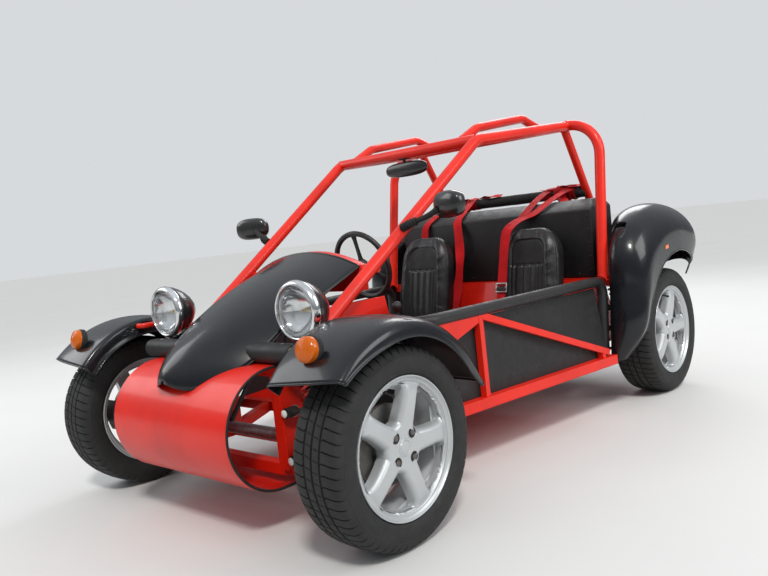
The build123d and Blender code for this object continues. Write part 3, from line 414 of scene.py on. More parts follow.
class Build:
    """Collects the points and faces of one piece, each face with a material's number."""

    def __init__(self):
        self.points, self.faces, self.numbers = [], [], []

    def add(self, shape, number=0):
        points, faces = shape
        first = len(self.points)
        self.points += [Vector(p) for p in points]
        self.faces += [tuple(first + i for i in face) for face in faces]
        self.numbers += [number] * len(faces)
        return self

    def add_all(self, shapes, number=0):
        for shape in shapes:
            self.add(shape, number)
        return self

    def mirrored(self):
        other = Build()
        other.points = [Vector((-p.x, p.y, p.z)) for p in self.points]
        other.faces = [tuple(reversed(face)) for face in self.faces]
        other.numbers = list(self.numbers)
        return other

    def with_mirror(self):
        both = Build()
        for half in (self, self.mirrored()):
            first = len(both.points)
            both.points += half.points
            both.faces += [tuple(first + i for i in face) for face in half.faces]
            both.numbers += half.numbers
        return both

    def make(self, name, materials, body="chassis", slot=None, replaces=(), sharp=38.0, face_out=True):
        """The finished piece: welded, facing outwards, shaded smooth with sharp edges, riding on its body."""
        shape = bmesh.new()
        points = [shape.verts.new(p) for p in self.points]
        shape.verts.index_update()
        for face, number in zip(self.faces, self.numbers):
            corners = [points[i] for i in face]
            if len(set(corners)) < 3:
                continue
            try:
                made = shape.faces.new(corners)
            except ValueError:
                continue
            made.material_index = number
        bmesh.ops.remove_doubles(shape, verts=shape.verts[:], dist=1e-6)
        bmesh.ops.dissolve_degenerate(shape, dist=1e-7, edges=shape.edges[:])
        if face_out:
            bmesh.ops.recalc_face_normals(shape, faces=shape.faces[:])
        data = bpy.data.meshes.new(name)
        shape.to_mesh(data)
        shape.free()
        return show(name, data, materials, body, slot, replaces, sharp)


def placed(name, data):
    """A new object in the scene."""
    thing = bpy.data.objects.new(name, data)
    bpy.context.scene.collection.objects.link(thing)
    return thing


def show(name, data, materials, body="chassis", slot=None, replaces=(), sharp=38.0):
    """The mesh as a piece riding on its body. Its slot argument is not used."""
    if isinstance(materials, str):
        materials, slot = MATERIALS[materials], materials
    for material in materials if isinstance(materials, (list, tuple)) else [materials]:
        data.materials.append(material)
    data.polygons.foreach_set("use_smooth", [True] * len(data.polygons))
    if sharp:
        data.set_sharp_from_angle(angle=math.radians(sharp))
    thing = placed(name, data)
    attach(thing, body)
    if replaces:
        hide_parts(*replaces)
    return thing


# Wheels

# One pitch of the tread: shares at which its points lie, and which of them lie in the slot
PITCHES = 60
SECTOR = (0.0, 0.42, 0.45, 0.55, 0.58)
SLOT_COLUMNS = (2, 3)
# The slots lean by this many pitches up to the shoulder, and by more on the middle ribs
SLOT_LEAN, RIB_LEAN = 0.55, 1.6
SHOULDER_X, RIB_EDGE_X = 84.0, 34

# Half of the tyre's outline in millimetres: from the middle, radius, depth of the groove and of the slots
TYRE_ROWS = (
    (0.0, 293.0, 6.5, 6.5), (3.2, 293.0, 6.5, 6.5), (4.0, 292.9, 0.0, 0.0), (9.0, 292.8, 0.0, 3.2),
    (20.0, 292.5, 0.0, 3.2), (26.0, 292.2, 0.0, 0.0), (27.0, 292.2, 6.5, 6.5), (32.5, 291.9, 6.5, 6.5),
    (33.4, 291.8, 0.0, 2.0), (38.0, 291.5, 0.0, 6.0), (52.0, 290.6, 0.0, 6.0), (64.0, 289.0, 0.0, 6.0),
    (73.0, 286.4, 0.0, 5.8), (80.0, 282.4, 0.0, 5.0), (85.0, 276.6, 0.0, 3.6), (88.2, 269.6, 0.0, 1.6),
    (89.8, 265.4, 0.0, 0.0), (91.0, 261.6, 0.0, 0.0), (92.0, 260.8, 0.0, 0.0), (92.3, 259.2, 0.0, 0.0),
    (91.8, 258.0, 0.0, 0.0), (93.0, 251.0, 0.0, 0.0), (93.6, 243.0, 0.0, 0.0), (93.3, 235.0, 0.0, 0.0),
    (92.0, 228.0, 0.0, 0.0), (91.4, 226.2, 0.0, 0.0), (91.9, 225.0, 0.0, 0.0), (91.4, 223.8, 0.0, 0.0),
    (89.2, 219.6, 0.0, 0.0), (89.6, 218.6, 0.0, 0.0), (88.2, 215.6, 0.0, 0.0), (84.6, 210.8, 0.0, 0.0),
    (80.0, 207.6, 0.0, 0.0), (76.0, 206.4, 0.0, 0.0), (75.6, 199.0, 0.0, 0.0), (75.6, 191.2, 0.0, 0.0),
)


def tyre_shape():
    """A road tyre with three grooves round it and slanted slots across its ribs and shoulders."""
    rows = [(-x, r, g, s) for x, r, g, s in reversed(TYRE_ROWS[1:])] + list(TYRE_ROWS)
    columns = PITCHES * len(SECTOR)
    points = []
    for x, radius, groove, slot in rows:
        lean = SLOT_LEAN * min(abs(x), SHOULDER_X) / SHOULDER_X * (1 if x >= 0 else -1)
        if abs(x) < RIB_EDGE_X:
            lean *= RIB_LEAN
        for pitch in range(PITCHES):
            for index, share in enumerate(SECTOR):
                angle = 2 * math.pi * (pitch + share + lean) / PITCHES
                depth = max(groove, slot if index in SLOT_COLUMNS else 0.0)
                r = (radius - depth) / 1000
                points.append((x / 1000, -r * math.sin(angle), r * math.cos(angle)))
    return points, grid(len(rows), columns, wrap_columns=True)


SPOKE_COUNT = 5
SPOKE_LEAN = math.radians(-18)
HUB_EDGE, WINDOW_IN, WINDOW_OUT = 26.0, 74.0, 181.0
# Half width of a spoke by radius
SPOKE_WIDTH = ((60.0, 38.0), (75.0, 35.5), (100.0, 32.5), (125.0, 31.0), (150.0, 31.0), (170.0, 33.5),
               (190.0, 40.0))
# Front and back of the wheel's face by radius, in millimetres from its middle plane
FACE_FRONT = ((0, 71.0), (48, 71.0), (70, 72.5), (90, 75.0), (120, 77.5), (150, 78.0), (168, 76.5),
              (184, 70.0), (192, 71.5))
FACE_BACK = ((0, 22.0), (60, 22.0), (75, 26.0), (110, 32.0), (150, 36.0), (192, 42.0))
SHOULDER_WIDTH, SHOULDER_DROP = 17.0, 22.0


def table_value(rows, x):
    return float(np.interp(x, [row[0] for row in rows], [row[1] for row in rows]))


def soft_value(rows, x, reach=7.0):
    """The table's value, averaged over a short stretch, so that its corners come out round."""
    return sum(table_value(rows, x + reach * k / 3) for k in (-3, -2, -1, 0, 1, 2, 3)) / 7


def window_half(r):
    """Half the angle of the opening between two spokes at a radius."""
    if r <= WINDOW_IN or r >= WINDOW_OUT:
        return 0.0
    straight = math.pi / SPOKE_COUNT - soft_value(SPOKE_WIDTH, r, 10.0) / r
    crotch, corner = 30.0, 16.0
    opening = straight
    if r < WINDOW_IN + crotch:
        inside = crotch ** 2 - (WINDOW_IN + crotch - r) ** 2
        opening = min(opening, math.sqrt(max(inside, 0.0)) / r * 1.1)
    if r > WINDOW_OUT - corner:
        inside = corner ** 2 - (r - WINDOW_OUT + corner) ** 2
        opening = min(opening, straight - (corner - math.sqrt(max(inside, 0.0))) / r)
    return max(opening, 0.0)


def rim_radii():
    inner = list(np.linspace(HUB_EDGE, WINDOW_IN - 3, 10))
    crotch = [WINDOW_IN + d for d in (0, 0.3, 1.2, 2.6, 4.5, 7, 10, 14, 18, 22, 26, 30)]
    middle = list(np.linspace(WINDOW_IN + 36, WINDOW_OUT - 17, 14))
    corner = [WINDOW_OUT - d for d in (14, 11, 9, 7, 5, 3.4, 2, 1, 0.3, 0)]
    return inner + crotch + middle + corner + [WINDOW_OUT + d for d in (1.5, 3, 5, 7, 9)]


def window_outline():
    """Points round the opening beside a spoke that points along +X, seen from the wheel's front."""
    radii = [r for r in rim_radii() if WINDOW_IN <= r <= WINDOW_OUT]
    angles = [(r, math.pi / SPOKE_COUNT - window_half(r)) for r in radii]
    angles += [(r, math.pi / SPOKE_COUNT + window_half(r)) for r in reversed(radii)]
    points = np.array([(r * math.cos(a), r * math.sin(a)) for r, a in angles])
    fine = []
    for first, last in zip(points, np.roll(points, -1, axis=0)):
        fine += [first + (last - first) * k / 4 for k in range(4)]
    return np.array(fine)


def rim_face():
    """The five spokes with rounded flanks, their hub and the outer ring, in one skin."""
    radii = rim_radii()
    shares = [math.sin(math.pi / 2 * t) for t in np.linspace(-1, 1, 25)]
    edge = window_outline()
    edge = np.concatenate([edge, edge * (1, -1)])
    rows = []
    for r in radii:
        half = math.pi / SPOKE_COUNT - window_half(r)
        front, back = soft_value(FACE_FRONT, r), soft_value(FACE_BACK, r)
        line = []
        for share in shares:
            a = share * half
            near = np.hypot(edge[:, 0] - r * math.cos(a), edge[:, 1] - r * math.sin(a)).min()
            t = min(near / SHOULDER_WIDTH, 1.0)
            line.append((front - SHOULDER_DROP * (1 - math.sqrt(1 - (1 - t) ** 2)), a, r))
        for side, share in ((1, 1.0), (1, 0.8), (-1, 0.8), (-1, 1.0)):
            line.append((back + (2.0 if share == 1.0 else 0), side * half * share, r))
        rows.append(line)
    m = len(rows[0])
    points, faces = [], []
    for spoke in range(SPOKE_COUNT):
        base = len(points)
        for line in rows:
            for x, angle, r in line:
                a = SPOKE_LEAN + 2 * math.pi * spoke / SPOKE_COUNT + angle
                points.append((x / 1000, -r / 1000 * math.sin(a), r / 1000 * math.cos(a)))
        for i in range(len(rows) - 1):
            open_here = window_half((radii[i] + radii[i + 1]) / 2) > 1e-6
            for j in range(m):
                k = (j + 1) % m
                if j in (len(shares) - 1, m - 1) and not open_here:
                    continue
                first, second = base + i * m, base + (i + 1) * m
                faces.append((first + j, first + k, second + k, second + j))
    return points, faces


# The rim's turned part in millimetres: distance outwards from the middle plane, radius
BARREL = (
    (47.5, 181.6), (56.0, 182.6), (64.0, 184.4), (70.0, 187.0), (73.5, 190.5), (76.5, 194.5), (80.0, 198.6),
    (82.4, 200.6), (84.2, 201.2), (85.0, 202.4), (84.8, 204.6), (83.4, 205.5), (79.0, 205.4), (76.4, 203.5),
    (76.0, 200.0), (75.6, 190.6), (34.0, 190.5), (18.0, 174.0), (-40.0, 174.0), (-52.0, 190.5),
    (-75.8, 190.6), (-76.4, 203.5), (-79.0, 205.4), (-83.6, 205.4), (-85.0, 203.6), (-84.4, 201.4),
    (-78.0, 198.0), (-72.0, 187.5), (-54.0, 184.5), (-41.0, 170.0), (16.0, 170.0), (30.0, 180.6),
    (47.5, 181.6),
)


# The hub's faces and the bolts' circle, in metres from the wheel's middle
HUB_BACK, HUB_FRONT = 0.022, 0.071
BOLT_CIRCLE = 0.05


def bolt_places():
    return [math.radians(44 + 90 * k) for k in range(4)]


def rim_shape():
    build = Build()
    build.add(rim_face())
    build.add(lathe([(x / 1000, r / 1000) for x, r in BARREL], (0, 0, 0), LEFT, 120))
    bore = [(HUB_BACK, 0.0262), (HUB_FRONT - 0.002, 0.0262), (HUB_FRONT, 0.0258)]
    build.add(lathe(bore, (0, 0, 0), LEFT, 60))
    return build


def rim_trim():
    """The plain centre cap, the four bolts, each in a ring round a flat dark disc of painted shade that
    stands for its recess, and the valve.
    """
    build = Build()
    cap = [(HUB_FRONT - 0.003, 0.0262), (HUB_FRONT + 0.0002, 0.0258), (HUB_FRONT + 0.0012, 0.0246),
           (HUB_FRONT + 0.0012, 0.0222), (HUB_FRONT + 0.0002, 0.0214), (HUB_FRONT + 0.0004, 0.0202),
           (HUB_FRONT + 0.0022, 0.0188), (HUB_FRONT + 0.0034, 0.011), (HUB_FRONT + 0.0038, 0.0)]
    build.add(lathe(cap, (0, 0, 0), LEFT, 56))
    for angle in bolt_places():
        place = Vector((0, -BOLT_CIRCLE * math.sin(angle), BOLT_CIRCLE * math.cos(angle)))
        recess = [(HUB_FRONT - 0.0002, 0.0182), (HUB_FRONT + 0.0012, 0.0176), (HUB_FRONT + 0.0014, 0.0168),
                  (HUB_FRONT + 0.0004, 0.0158)]
        build.add(lathe(recess, place, LEFT, 32))
        # A flat dark disc under the bolt head: painted shade for the recess it sits in.
        build.add(lathe([(HUB_FRONT + 0.0005, 0.0160), (HUB_FRONT + 0.0005, 0.0)], place, LEFT, 28), 1)
        build.add_all(hex_bolt(place + Vector((HUB_FRONT, 0, 0)), LEFT, 0.0160, 0.0034, False), 3)
    stem = SPOKE_LEAN + math.radians(36)
    foot = Vector((0.060, -0.181 * math.sin(stem), 0.181 * math.cos(stem)))
    inward = Vector((0.55, 0.165 * math.sin(stem), -0.165 * math.cos(stem))).normalized()
    build.add(lathe([(0, 0.0055), (0.012, 0.0045), (0.013, 0.0036), (0.030, 0.0034), (0.031, 0.0046),
                     (0.040, 0.0044), (0.0405, 0.0)], foot, inward, 16), 1)
    return build


def make_wheels():
    """Tyre, rim and rim trim of each wheel; the four wheels share their meshes."""
    kinds = (
        ("tread_tyre", Build().add(tyre_shape()), [MATERIALS["tyre"]], "tyre", 32),
        ("cast_rim", rim_shape(), [MATERIALS["rim"]], "rim", 42),
        ("rim_trim", rim_trim(), [MATERIALS["rim"], BLACK_AND_PAINTED_SHADE, STEEL, MATERIALS["knuckle_iron"]], None, 30),
    )
    made = {}
    for corner in ("front_left", "front_right", "rear_left", "rear_right"):
        low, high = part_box("tyre_" + corner)
        turn = Matrix.Rotation(math.pi if "right" in corner else 0, 4, "Z")
        body = "wheel_" + corner
        for kind, build, finishes, slot, sharp in kinds:
            name = kind + "_" + corner
            replaced = (slot + "_" + corner,) if slot else ()
            if kind in made:
                thing = placed(name, made[kind])
            else:
                thing = build.make(name, finishes, body, slot, replaced, sharp)
                made[kind] = thing.data
            thing.matrix_world = Matrix.Translation((low + high) / 2) @ turn
            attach(thing, body)
            if slot:
                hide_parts(*replaced)


# Bodywork

# The front wing over the tyre: crown radius, inner edge and width, ends in degrees, depths of its two sides
WING_RADIUS, WING_INNER, WING_WIDTH = 375.0, 530.0, 270.0
WING_REAR, WING_FRONT = -72.0, 51.5
WING_VALANCE, WING_FLANGE = 58.0, 62.0
# Across a front wing: x, drop below the crown, and shares of the depths of the inner flange and the valance
WING_SECTION = (
    (527.0, 0.0, 1.0, 0.0), (530.0, 0.0, 0.95, 0.0), (530.0, 0.0, 0.6, 0.0), (530.0, 19.0, 0.0, 0.0),
    (532.5, 11.5, 0.0, 0.0), (538.5, 6.8, 0.0, 0.0), (550.0, 4.6, 0.0, 0.0), (585.0, 2.2, 0.0, 0.0),
    (625.0, 0.6, 0.0, 0.0), (665.0, 0.0, 0.0, 0.0), (700.0, 0.0, 0.0, 0.015), (733.0, 0.0, 0.0, 0.062),
    (760.0, 0.0, 0.0, 0.138), (778.0, 0.0, 0.0, 0.233), (790.0, 0.0, 0.0, 0.362), (797.0, 0.0, 0.0, 0.534),
    (799.5, 0.0, 0.0, 0.72), (800.0, 0.0, 0.0, 0.92), (801.5, 0.0, 0.0, 0.97), (802.0, 0.0, 0.0, 1.0),
)


def wing_point(t, column):
    """A point of the left wing: t runs from its rear end to its front end."""
    x, drop, inner, outer = column
    near_front, near_rear = max(0.0, (t - 0.72) / 0.28), max(0.0, (0.12 - t) / 0.12)
    valance = WING_VALANCE - 30.0 * near_front ** 1.5 - 26.0 * near_rear ** 1.5
    flange = WING_FLANGE - 30.0 * near_rear
    radius = WING_RADIUS - (drop + inner * flange + outer * valance)
    across = (x - WING_INNER) / WING_WIDTH
    front = WING_FRONT - 3.2 * across - 1.8 * across ** 4
    angle = math.radians(WING_REAR + t * (front - WING_REAR))
    return at(x, -radius * math.sin(angle), radius * math.cos(angle))


def mirror_point(p):
    return Vector((-p.x, p.y, p.z))


def make_wings():
    steps = 72
    shape = [wing_point(i / steps, column) for i in range(steps + 1) for column in WING_SECTION]
    left = Build().add((shape, grid(steps + 1, len(WING_SECTION))))
    for name, build, replaced in (("left", left, ("front_wings",)), ("right", left.mirrored(), ())):
        wing = build.make("front_wing_" + name, "body_black", replaces=replaced, sharp=60)
        skin(wing, 0.0042)
    trim = Build()
    for side in (1, -1):
        beads = [(0.0036, [wing_point(i / steps, column) for i in range(steps + 1)])
                 for column in (WING_SECTION[0], WING_SECTION[-1])]
        beads += [(0.0034, [wing_point(t, column) for column in WING_SECTION]) for t in (0.0, 1.0)]
        for radius, edge in beads:
            trim.add(tube([p if side > 0 else mirror_point(p) for p in edge], radius, 10))
    trim.make("wing_edge_beads", "body_black")


def skin(thing, thickness):
    """Gives a sheet its thickness, half to each side."""
    modifier = thing.modifiers.new("skin", "SOLIDIFY")
    modifier.thickness = thickness
    modifier.offset = 0.0
    modifier.use_even_offset = True


def applied(thing):
    """The thing's mesh with its modifiers worked in."""
    graph = bpy.context.evaluated_depsgraph_get()
    graph.update()
    data = bpy.data.meshes.new_from_object(thing.evaluated_get(graph), depsgraph=graph)
    thing.modifiers.clear()
    thing.data = data
    return data


# About the rear axle: angle behind the vertical, height above the arch, inner wall, crest, outer side
FENDER_ROWS = (
    (-98.0, 82.0, 652.0, 676.0, 712.0), (-80.0, 80.0, 652.0, 690.0, 795.0),
    (-60.0, 118.0, 652.0, 695.0, 812.0), (-42.0, 216.0, 652.0, 695.0, 815.0),
    (-20.0, 238.0, 606.0, 684.0, 818.0), (5.0, 222.0, 590.0, 690.0, 820.0),
    (30.0, 211.0, 590.0, 690.0, 808.0), (42.0, 161.0, 590.0, 680.0, 768.0),
    (51.5, 112.0, 590.0, 668.0, 735.0),
)
ARCH = 374.0
FENDER_LIP = 34.0
FENDER_SHARP = 50


def smooth_row(rows, place):
    """A row between the given ones, on a curve through them; place counts rows from 0."""
    k = min(int(place), len(rows) - 2)
    p = [np.array(rows[max(0, min(len(rows) - 1, k + step))]) for step in (-1, 0, 1, 2)]
    return curve_point(p, place - k)


def arc_from_top(crest, top, end, steps):
    """Points on the circle that leaves (crest, top) level and ends at end."""
    across, down = end[0] - crest, top - end[1]
    radius = (across ** 2 + down ** 2) / (2 * down)
    last = math.atan2(abs(across), radius - down)
    sign = 1 if across > 0 else -1
    return [(crest + sign * radius * math.sin(last * k / steps),
             top - radius + radius * math.cos(last * k / steps)) for k in range(steps + 1)]


def fender_line(row):
    angle, height, inner, crest, outer = row
    top = ARCH + height
    inside = arc_from_top(crest, top, (inner, top - FENDER_LIP), 8)
    low = ARCH + 0.35 * height
    arc = arc_from_top(crest, top, (outer, low), 16)
    full = [(crest + (outer - crest) * math.sin(math.pi / 2 * k / 16),
             low + (top - low) * math.cos(math.pi / 2 * k / 16)) for k in range(17)]
    outside = [(0.3 * x1 + 0.7 * x2, 0.3 * z1 + 0.7 * z2) for (x1, z1), (x2, z2) in zip(arc, full)]
    wall = [(inner, ARCH + (top - FENDER_LIP - ARCH) * k / 5) for k in range(5)]
    side = [(outer - 4 * k / 4, ARCH + 0.35 * height * (1 - k / 4)) for k in range(1, 5)]
    a = math.radians(angle)
    return [rear(x, r * math.sin(a), r * math.cos(a)) for x, r in wall + inside[::-1] + outside[1:] + side]


def intake_outline(grow=0.0, count=40):
    """A rounded opening seen from the front: x and height above the axles."""
    centre_x, centre_z, half_x, half_z, slant, power = 681, 494, 33, 37, 6, 0.62
    found = []
    for a in round_angles(count):
        c, s = math.cos(a), math.sin(a)
        found.append((centre_x + (half_x + grow) * squared(c, power),
                      centre_z + (half_z + grow) * squared(s, power) + slant * c))
    return found


def cut_intake(fender):
    """Cuts the air intake through the fender's front wall and returns the mesh."""
    outline = intake_outline()
    m = len(outline)
    cutter = Build()
    cutter.points = [rear(x, y, z) for y in (-330, -205) for x, z in outline]
    cutter.faces = [(k, (k + 1) % m, m + (k + 1) % m, m + k) for k in range(m)]
    cutter.faces += [tuple(reversed(range(m))), tuple(range(m, 2 * m))]
    cutter.numbers = [0] * len(cutter.faces)
    knife = cutter.make("intake_cutter", MATERIALS["body_black"])
    cut = fender.modifiers.new("intake", "BOOLEAN")
    cut.object, cut.solver = knife, "EXACT"
    data = applied(fender)
    bpy.data.objects.remove(knife)
    data.polygons.foreach_set("use_smooth", [True] * len(data.polygons))
    data.set_sharp_from_angle(angle=math.radians(FENDER_SHARP))
    return data


def fender_beads(rows, surface):
    """Beads round the intake and along all four edges of both fenders."""
    trim = Build()
    rays = [surface.ray_cast(rear(x, -400, z), Vector(BACK))[0] for x, z in intake_outline(1.5)]
    lip = [hit for hit in rays if hit is not None]
    if len(lip) > 10:
        trim.add(tube(lip, 0.0042, 10, closed=True))
    trim.add(tube([row[-1] for row in rows], 0.0042, 10))
    trim.add(tube([row[0] for row in rows], 0.0035, 8))
    for row in (rows[0], rows[-1]):
        trim.add(tube(row, 0.0026, 8))
    trim.with_mirror().make("fender_beads", "body_black")


def make_fenders():
    steps, last = 96, len(FENDER_ROWS) - 1
    rows = [fender_line(smooth_row(FENDER_ROWS, i / steps * last)) for i in range(steps + 1)]
    shape = [p for row in rows for p in row], grid(steps + 1, len(rows[0]))
    fender = Build().add(shape).make("rear_fender_left", "body_black",
                                     replaces=("rear_fenders",), sharp=FENDER_SHARP)
    surface = BVHTree.FromPolygons(*shape)
    skin(fender, 0.0045)
    other = mirrored_mesh(cut_intake(fender), "rear_fender_right")
    show("rear_fender_right", other, "body_black", sharp=FENDER_SHARP)
    fender_beads(rows, surface)
    marker(surface)


def mirrored_mesh(data, name):
    other = bpy.data.meshes.new(name)
    points = [(-v.co.x, v.co.y, v.co.z) for v in data.vertices]
    other.from_pydata(points, [], [tuple(reversed(p.vertices)) for p in data.polygons])
    return other


def marker(surface):
    """The amber side repeater on each fender."""
    centre = rear(900, -148, 400)
    hit, normal = surface.ray_cast(centre, Vector((-1, 0, 0)))[:2]
    if hit is None:
        return
    out = normal if normal.x > 0 else -normal
    along = Vector((0, 1, 0.12)).normalized()
    along = (along - out * along.dot(out)).normalized()
    turn = Matrix((along, out.cross(along), out)).transposed()
    base = Build().add(rounded_block(hit + out * 0.0002, (0.040, 0.022, 0.006), 0.002, turn)).with_mirror()
    base.make("side_marker_bases", BLACK_AND_PAINTED_SHADE)
    lens = Build().add(rounded_block(hit + out * 0.0020, (0.036, 0.018, 0.005), 0.0022, turn)).with_mirror()
    lens.make("side_markers", "lens_amber")


BONNET_ROWS = (
    (-283.5, 8.0, 205.0, 212.0), (-282.0, 24.0, 202.0, 222.0), (-277.0, 40.0, 195.0, 233.0),
    (-270.0, 55.0, 190.0, 243.0), (-248.0, 90.0, 181.0, 266.0), (-205.0, 150.0, 189.0, 301.0),
    (-150.0, 203.0, 216.0, 336.0), (-90.0, 238.0, 252.0, 371.0), (-15.0, 256.0, 303.0, 410.0),
    (60.0, 265.0, 352.0, 444.0), (140.0, 273.0, 393.0, 476.0), (220.0, 279.0, 429.0, 505.0),
    (300.0, 283.0, 463.0, 532.0), (372.0, 287.0, 494.0, 557.0),
)


def bonnet_line(row, count=36):
    """The arch of one section: an arc through both edges and the crown."""
    y, half, edge, crown = row
    rise = max(crown - edge, 1.0)
    radius = (half ** 2 + rise ** 2) / (2 * rise)
    reach = math.atan2(half, radius - rise)
    found = []
    for k in range(count + 1):
        a = reach * (2 * k / count - 1)
        found.append(at(radius * math.sin(a), y, crown - radius + radius * math.cos(a)))
    return found


def make_bonnet():
    steps, last = 90, len(BONNET_ROWS) - 1
    rows = [bonnet_line(smooth_row(BONNET_ROWS, (i / steps) ** 1.25 * last)) for i in range(steps + 1)]
    build = Build().add(([p for row in rows for p in row], grid(steps + 1, len(rows[0]))))
    bonnet = build.make("bonnet_shell", "body_black", replaces=("bonnet",), sharp=60)
    skin(bonnet, 0.0045)
    trim = Build()
    for end in (0, -1):
        trim.add(tube([row[end] for row in rows], 0.0042, 10))
    trim.add(tube([p + Vector((0, 0.001, 0)) for p in rows[-1]], 0.0045, 10))
    trim.make("bonnet_edge_trim", "body_black")


# The rolled nose: y and height of its centre, and its radius
NOSE = (-105.0, 42.0, 190.2)


def nose_profile(step=7.5):
    """The rolled nose's outline: y and height, from the top's rear edge round the front to the bottom."""
    centre_y, centre_z, radius = NOSE
    level = (60.0, 0.0, -60.0)
    found = [(y, centre_z + radius) for y in level]
    for k in range(int(180 / step) + 1):
        a = math.radians(90 + step * k)
        found.append((centre_y + radius * math.cos(a), centre_z + radius * math.sin(a)))
    return found + [(y, centre_z - radius) for y in reversed(level)]


def make_nose_trim():
    trim = Build()
    for side in (1, -1):
        path = [at(side * 324.5, y, z) for y, z in nose_profile()]
        trim.add(tube(path, 0.0046, 10))
    trim.make("nose_edge_trim", "pad_black")


# Lamps and mirrors

LAMP = (373.0, -18.0, 392.0)
# The headlamp bar's y and height
POD = (-63, 268.3)
MIRROR_POWER = 0.72


def made_glass(name, colour, roughness, weight=1.0):
    s = Shade(name)
    s.patched(s.noise(30.0, 3.0), 0.45, 0.75, colour, tuple(c * 0.93 for c in colour))
    s.vary_roughness(s.noise(50.0, 2.0), 0.3, 0.8, roughness, roughness + 0.06)
    s.set(Transmission_Weight=weight, IOR=1.45)
    return s.material


def add_lamp_materials():
    MATERIALS["glass"] = made_glass("fluted glass", (0.97, 0.98, 0.98), 0.02)
    MATERIALS["amber_glass"] = made_glass("amber glass", (0.88, 0.17, 0.004), 0.12, 0.35)
    MATERIALS["straw_glass"] = made_glass("straw glass", (0.95, 0.72, 0.36), 0.12, 0.35)
    MATERIALS["red_glass"] = made_glass("red glass", (0.62, 0.01, 0.008), 0.12, 0.4)


def fluted_lens(radius, bulge, thick, flutes=26):
    """A domed glass with upright flutes inside, facing -Y from its own centre."""
    rings, turns = 30, 96
    outer, inner = [], []
    for i in range(rings + 1):
        r = radius * i / rings
        y = -bulge * math.sqrt(max(0.0, 1 - (0.86 * i / rings) ** 2)) + bulge * math.sqrt(1 - 0.86 ** 2)
        for a in round_angles(turns):
            x, z = r * math.cos(a), r * math.sin(a)
            outer.append(Vector((x, y, z)))
            fading = min(1.0, 4 * (1 - i / rings))
            wave = 0.0011 * (0.5 + 0.5 * math.cos(2 * math.pi * x / radius * flutes / 2)) * fading
            inner.append(Vector((x, y + thick + wave, z)))
    m = len(outer)
    faces = grid(rings + 1, turns, wrap_columns=True)
    faces += [tuple(m + i for i in reversed(face)) for face in grid(rings + 1, turns, wrap_columns=True)]
    last = rings * turns
    faces += [(last + k, last + (k + 1) % turns, m + last + (k + 1) % turns, m + last + k)
              for k in range(turns)]
    return outer + inner, faces


def moved(shape, place, turn=None):
    points, faces = shape
    return [Vector(place) + (turn @ Vector(p) if turn else Vector(p)) for p in points], faces


def make_headlamps():
    centre = at(*LAMP)
    bowl = [(0.010, 0.0925), (0.012, 0.0952), (0.016, 0.0962), (0.022, 0.0958), (0.036, 0.0920),
            (0.054, 0.0840), (0.074, 0.0720), (0.092, 0.0570), (0.108, 0.0390), (0.117, 0.0240),
            (0.1225, 0.0110), (0.1240, 0.0)]
    shell = Build().add(lathe(bowl, centre, BACK, 72))
    shell.add(tube([centre + Vector((0, 0.058, -0.066)), at(373, 40, 312), at(373, 40, 290)], 0.0125, 20))
    shell.add(lathe([(0, 0.0240), (0.004, 0.0235), (0.007, 0.0170), (0.008, 0.0130), (0.009, 0.0)],
                    at(373, 40, 293), UP, 28))
    shell.add_all(hex_bolt(centre + Vector((0, 0.1235, 0)), BACK, 0.011, 0.004), 1)
    shell.with_mirror().make("headlamp_bowls", [MATERIALS["mirror_black"], STEEL], slot="mirror_black",
                             sharp=42)
    bezel = [(0.0125, 0.0950), (0.0150, 0.0978), (0.0120, 0.0990), (0.0060, 0.0988), (0.0000, 0.0972),
             (-0.0052, 0.0940), (-0.0086, 0.0898), (-0.0098, 0.0862), (-0.0090, 0.0836), (-0.0066, 0.0822),
             (-0.0020, 0.0816), (0.0030, 0.0816), (0.0030, 0.0850), (0.0060, 0.0930), (0.0125, 0.0950)]
    ring = Build().add(lathe(bezel, centre, BACK, 96))
    ring.add(rounded_block(centre + Vector((0, 0.004, -0.0992)), (0.014, 0.014, 0.008), 0.002))
    ring.with_mirror().make("headlamp_bezels", "chrome", replaces=("headlamps",), sharp=50)
    dish = [(0.004, 0.0822), (0.012, 0.0800), (0.026, 0.0700), (0.040, 0.0560), (0.052, 0.0400),
            (0.060, 0.0230), (0.063, 0.0130), (0.064, 0.0100), (0.072, 0.0100), (0.072, 0.0)]
    inside = Build().add(lathe(dish, centre, BACK, 72))
    inside.add(lathe([(0.070, 0.0085), (0.048, 0.0085), (0.046, 0.0062), (0.030, 0.0060), (0.024, 0.0040),
                      (0.022, 0.0)], centre, BACK, 24), 1)
    inside.with_mirror().make("headlamp_reflectors", [MATERIALS["chrome"], MATERIALS["straw_glass"]],
                              slot="chrome", face_out=False)
    glass = Build().add(moved(fluted_lens(0.0814, 0.020, 0.0026), centre + Vector((0, -0.0025, 0))))
    glass.with_mirror().make("headlamp_glasses", MATERIALS["glass"], slot="lens_clear",
                             replaces=("headlamp_lenses",), sharp=60)


def pod_section(size=1.0):
    """The bar's rounded section about its middle: y and z in metres."""
    half_y, half_z, corner = 0.040, 0.031, 0.028
    found = []
    for sy, sz, start in ((1, 1, 0), (-1, 1, 90), (-1, -1, 180), (1, -1, 270)):
        for k in range(9):
            a = math.radians(start + 90 * k / 8)
            found.append((sy * (half_y - corner) * size + corner * size * math.cos(a),
                          sz * (half_z - corner) * size + corner * size * math.sin(a)))
    return found


def pod_ring(x, size):
    """The bar's section at x metres from the middle."""
    return [at(x * 1000, *POD) + Vector((0, y, z)) for y, z in pod_section(size)]


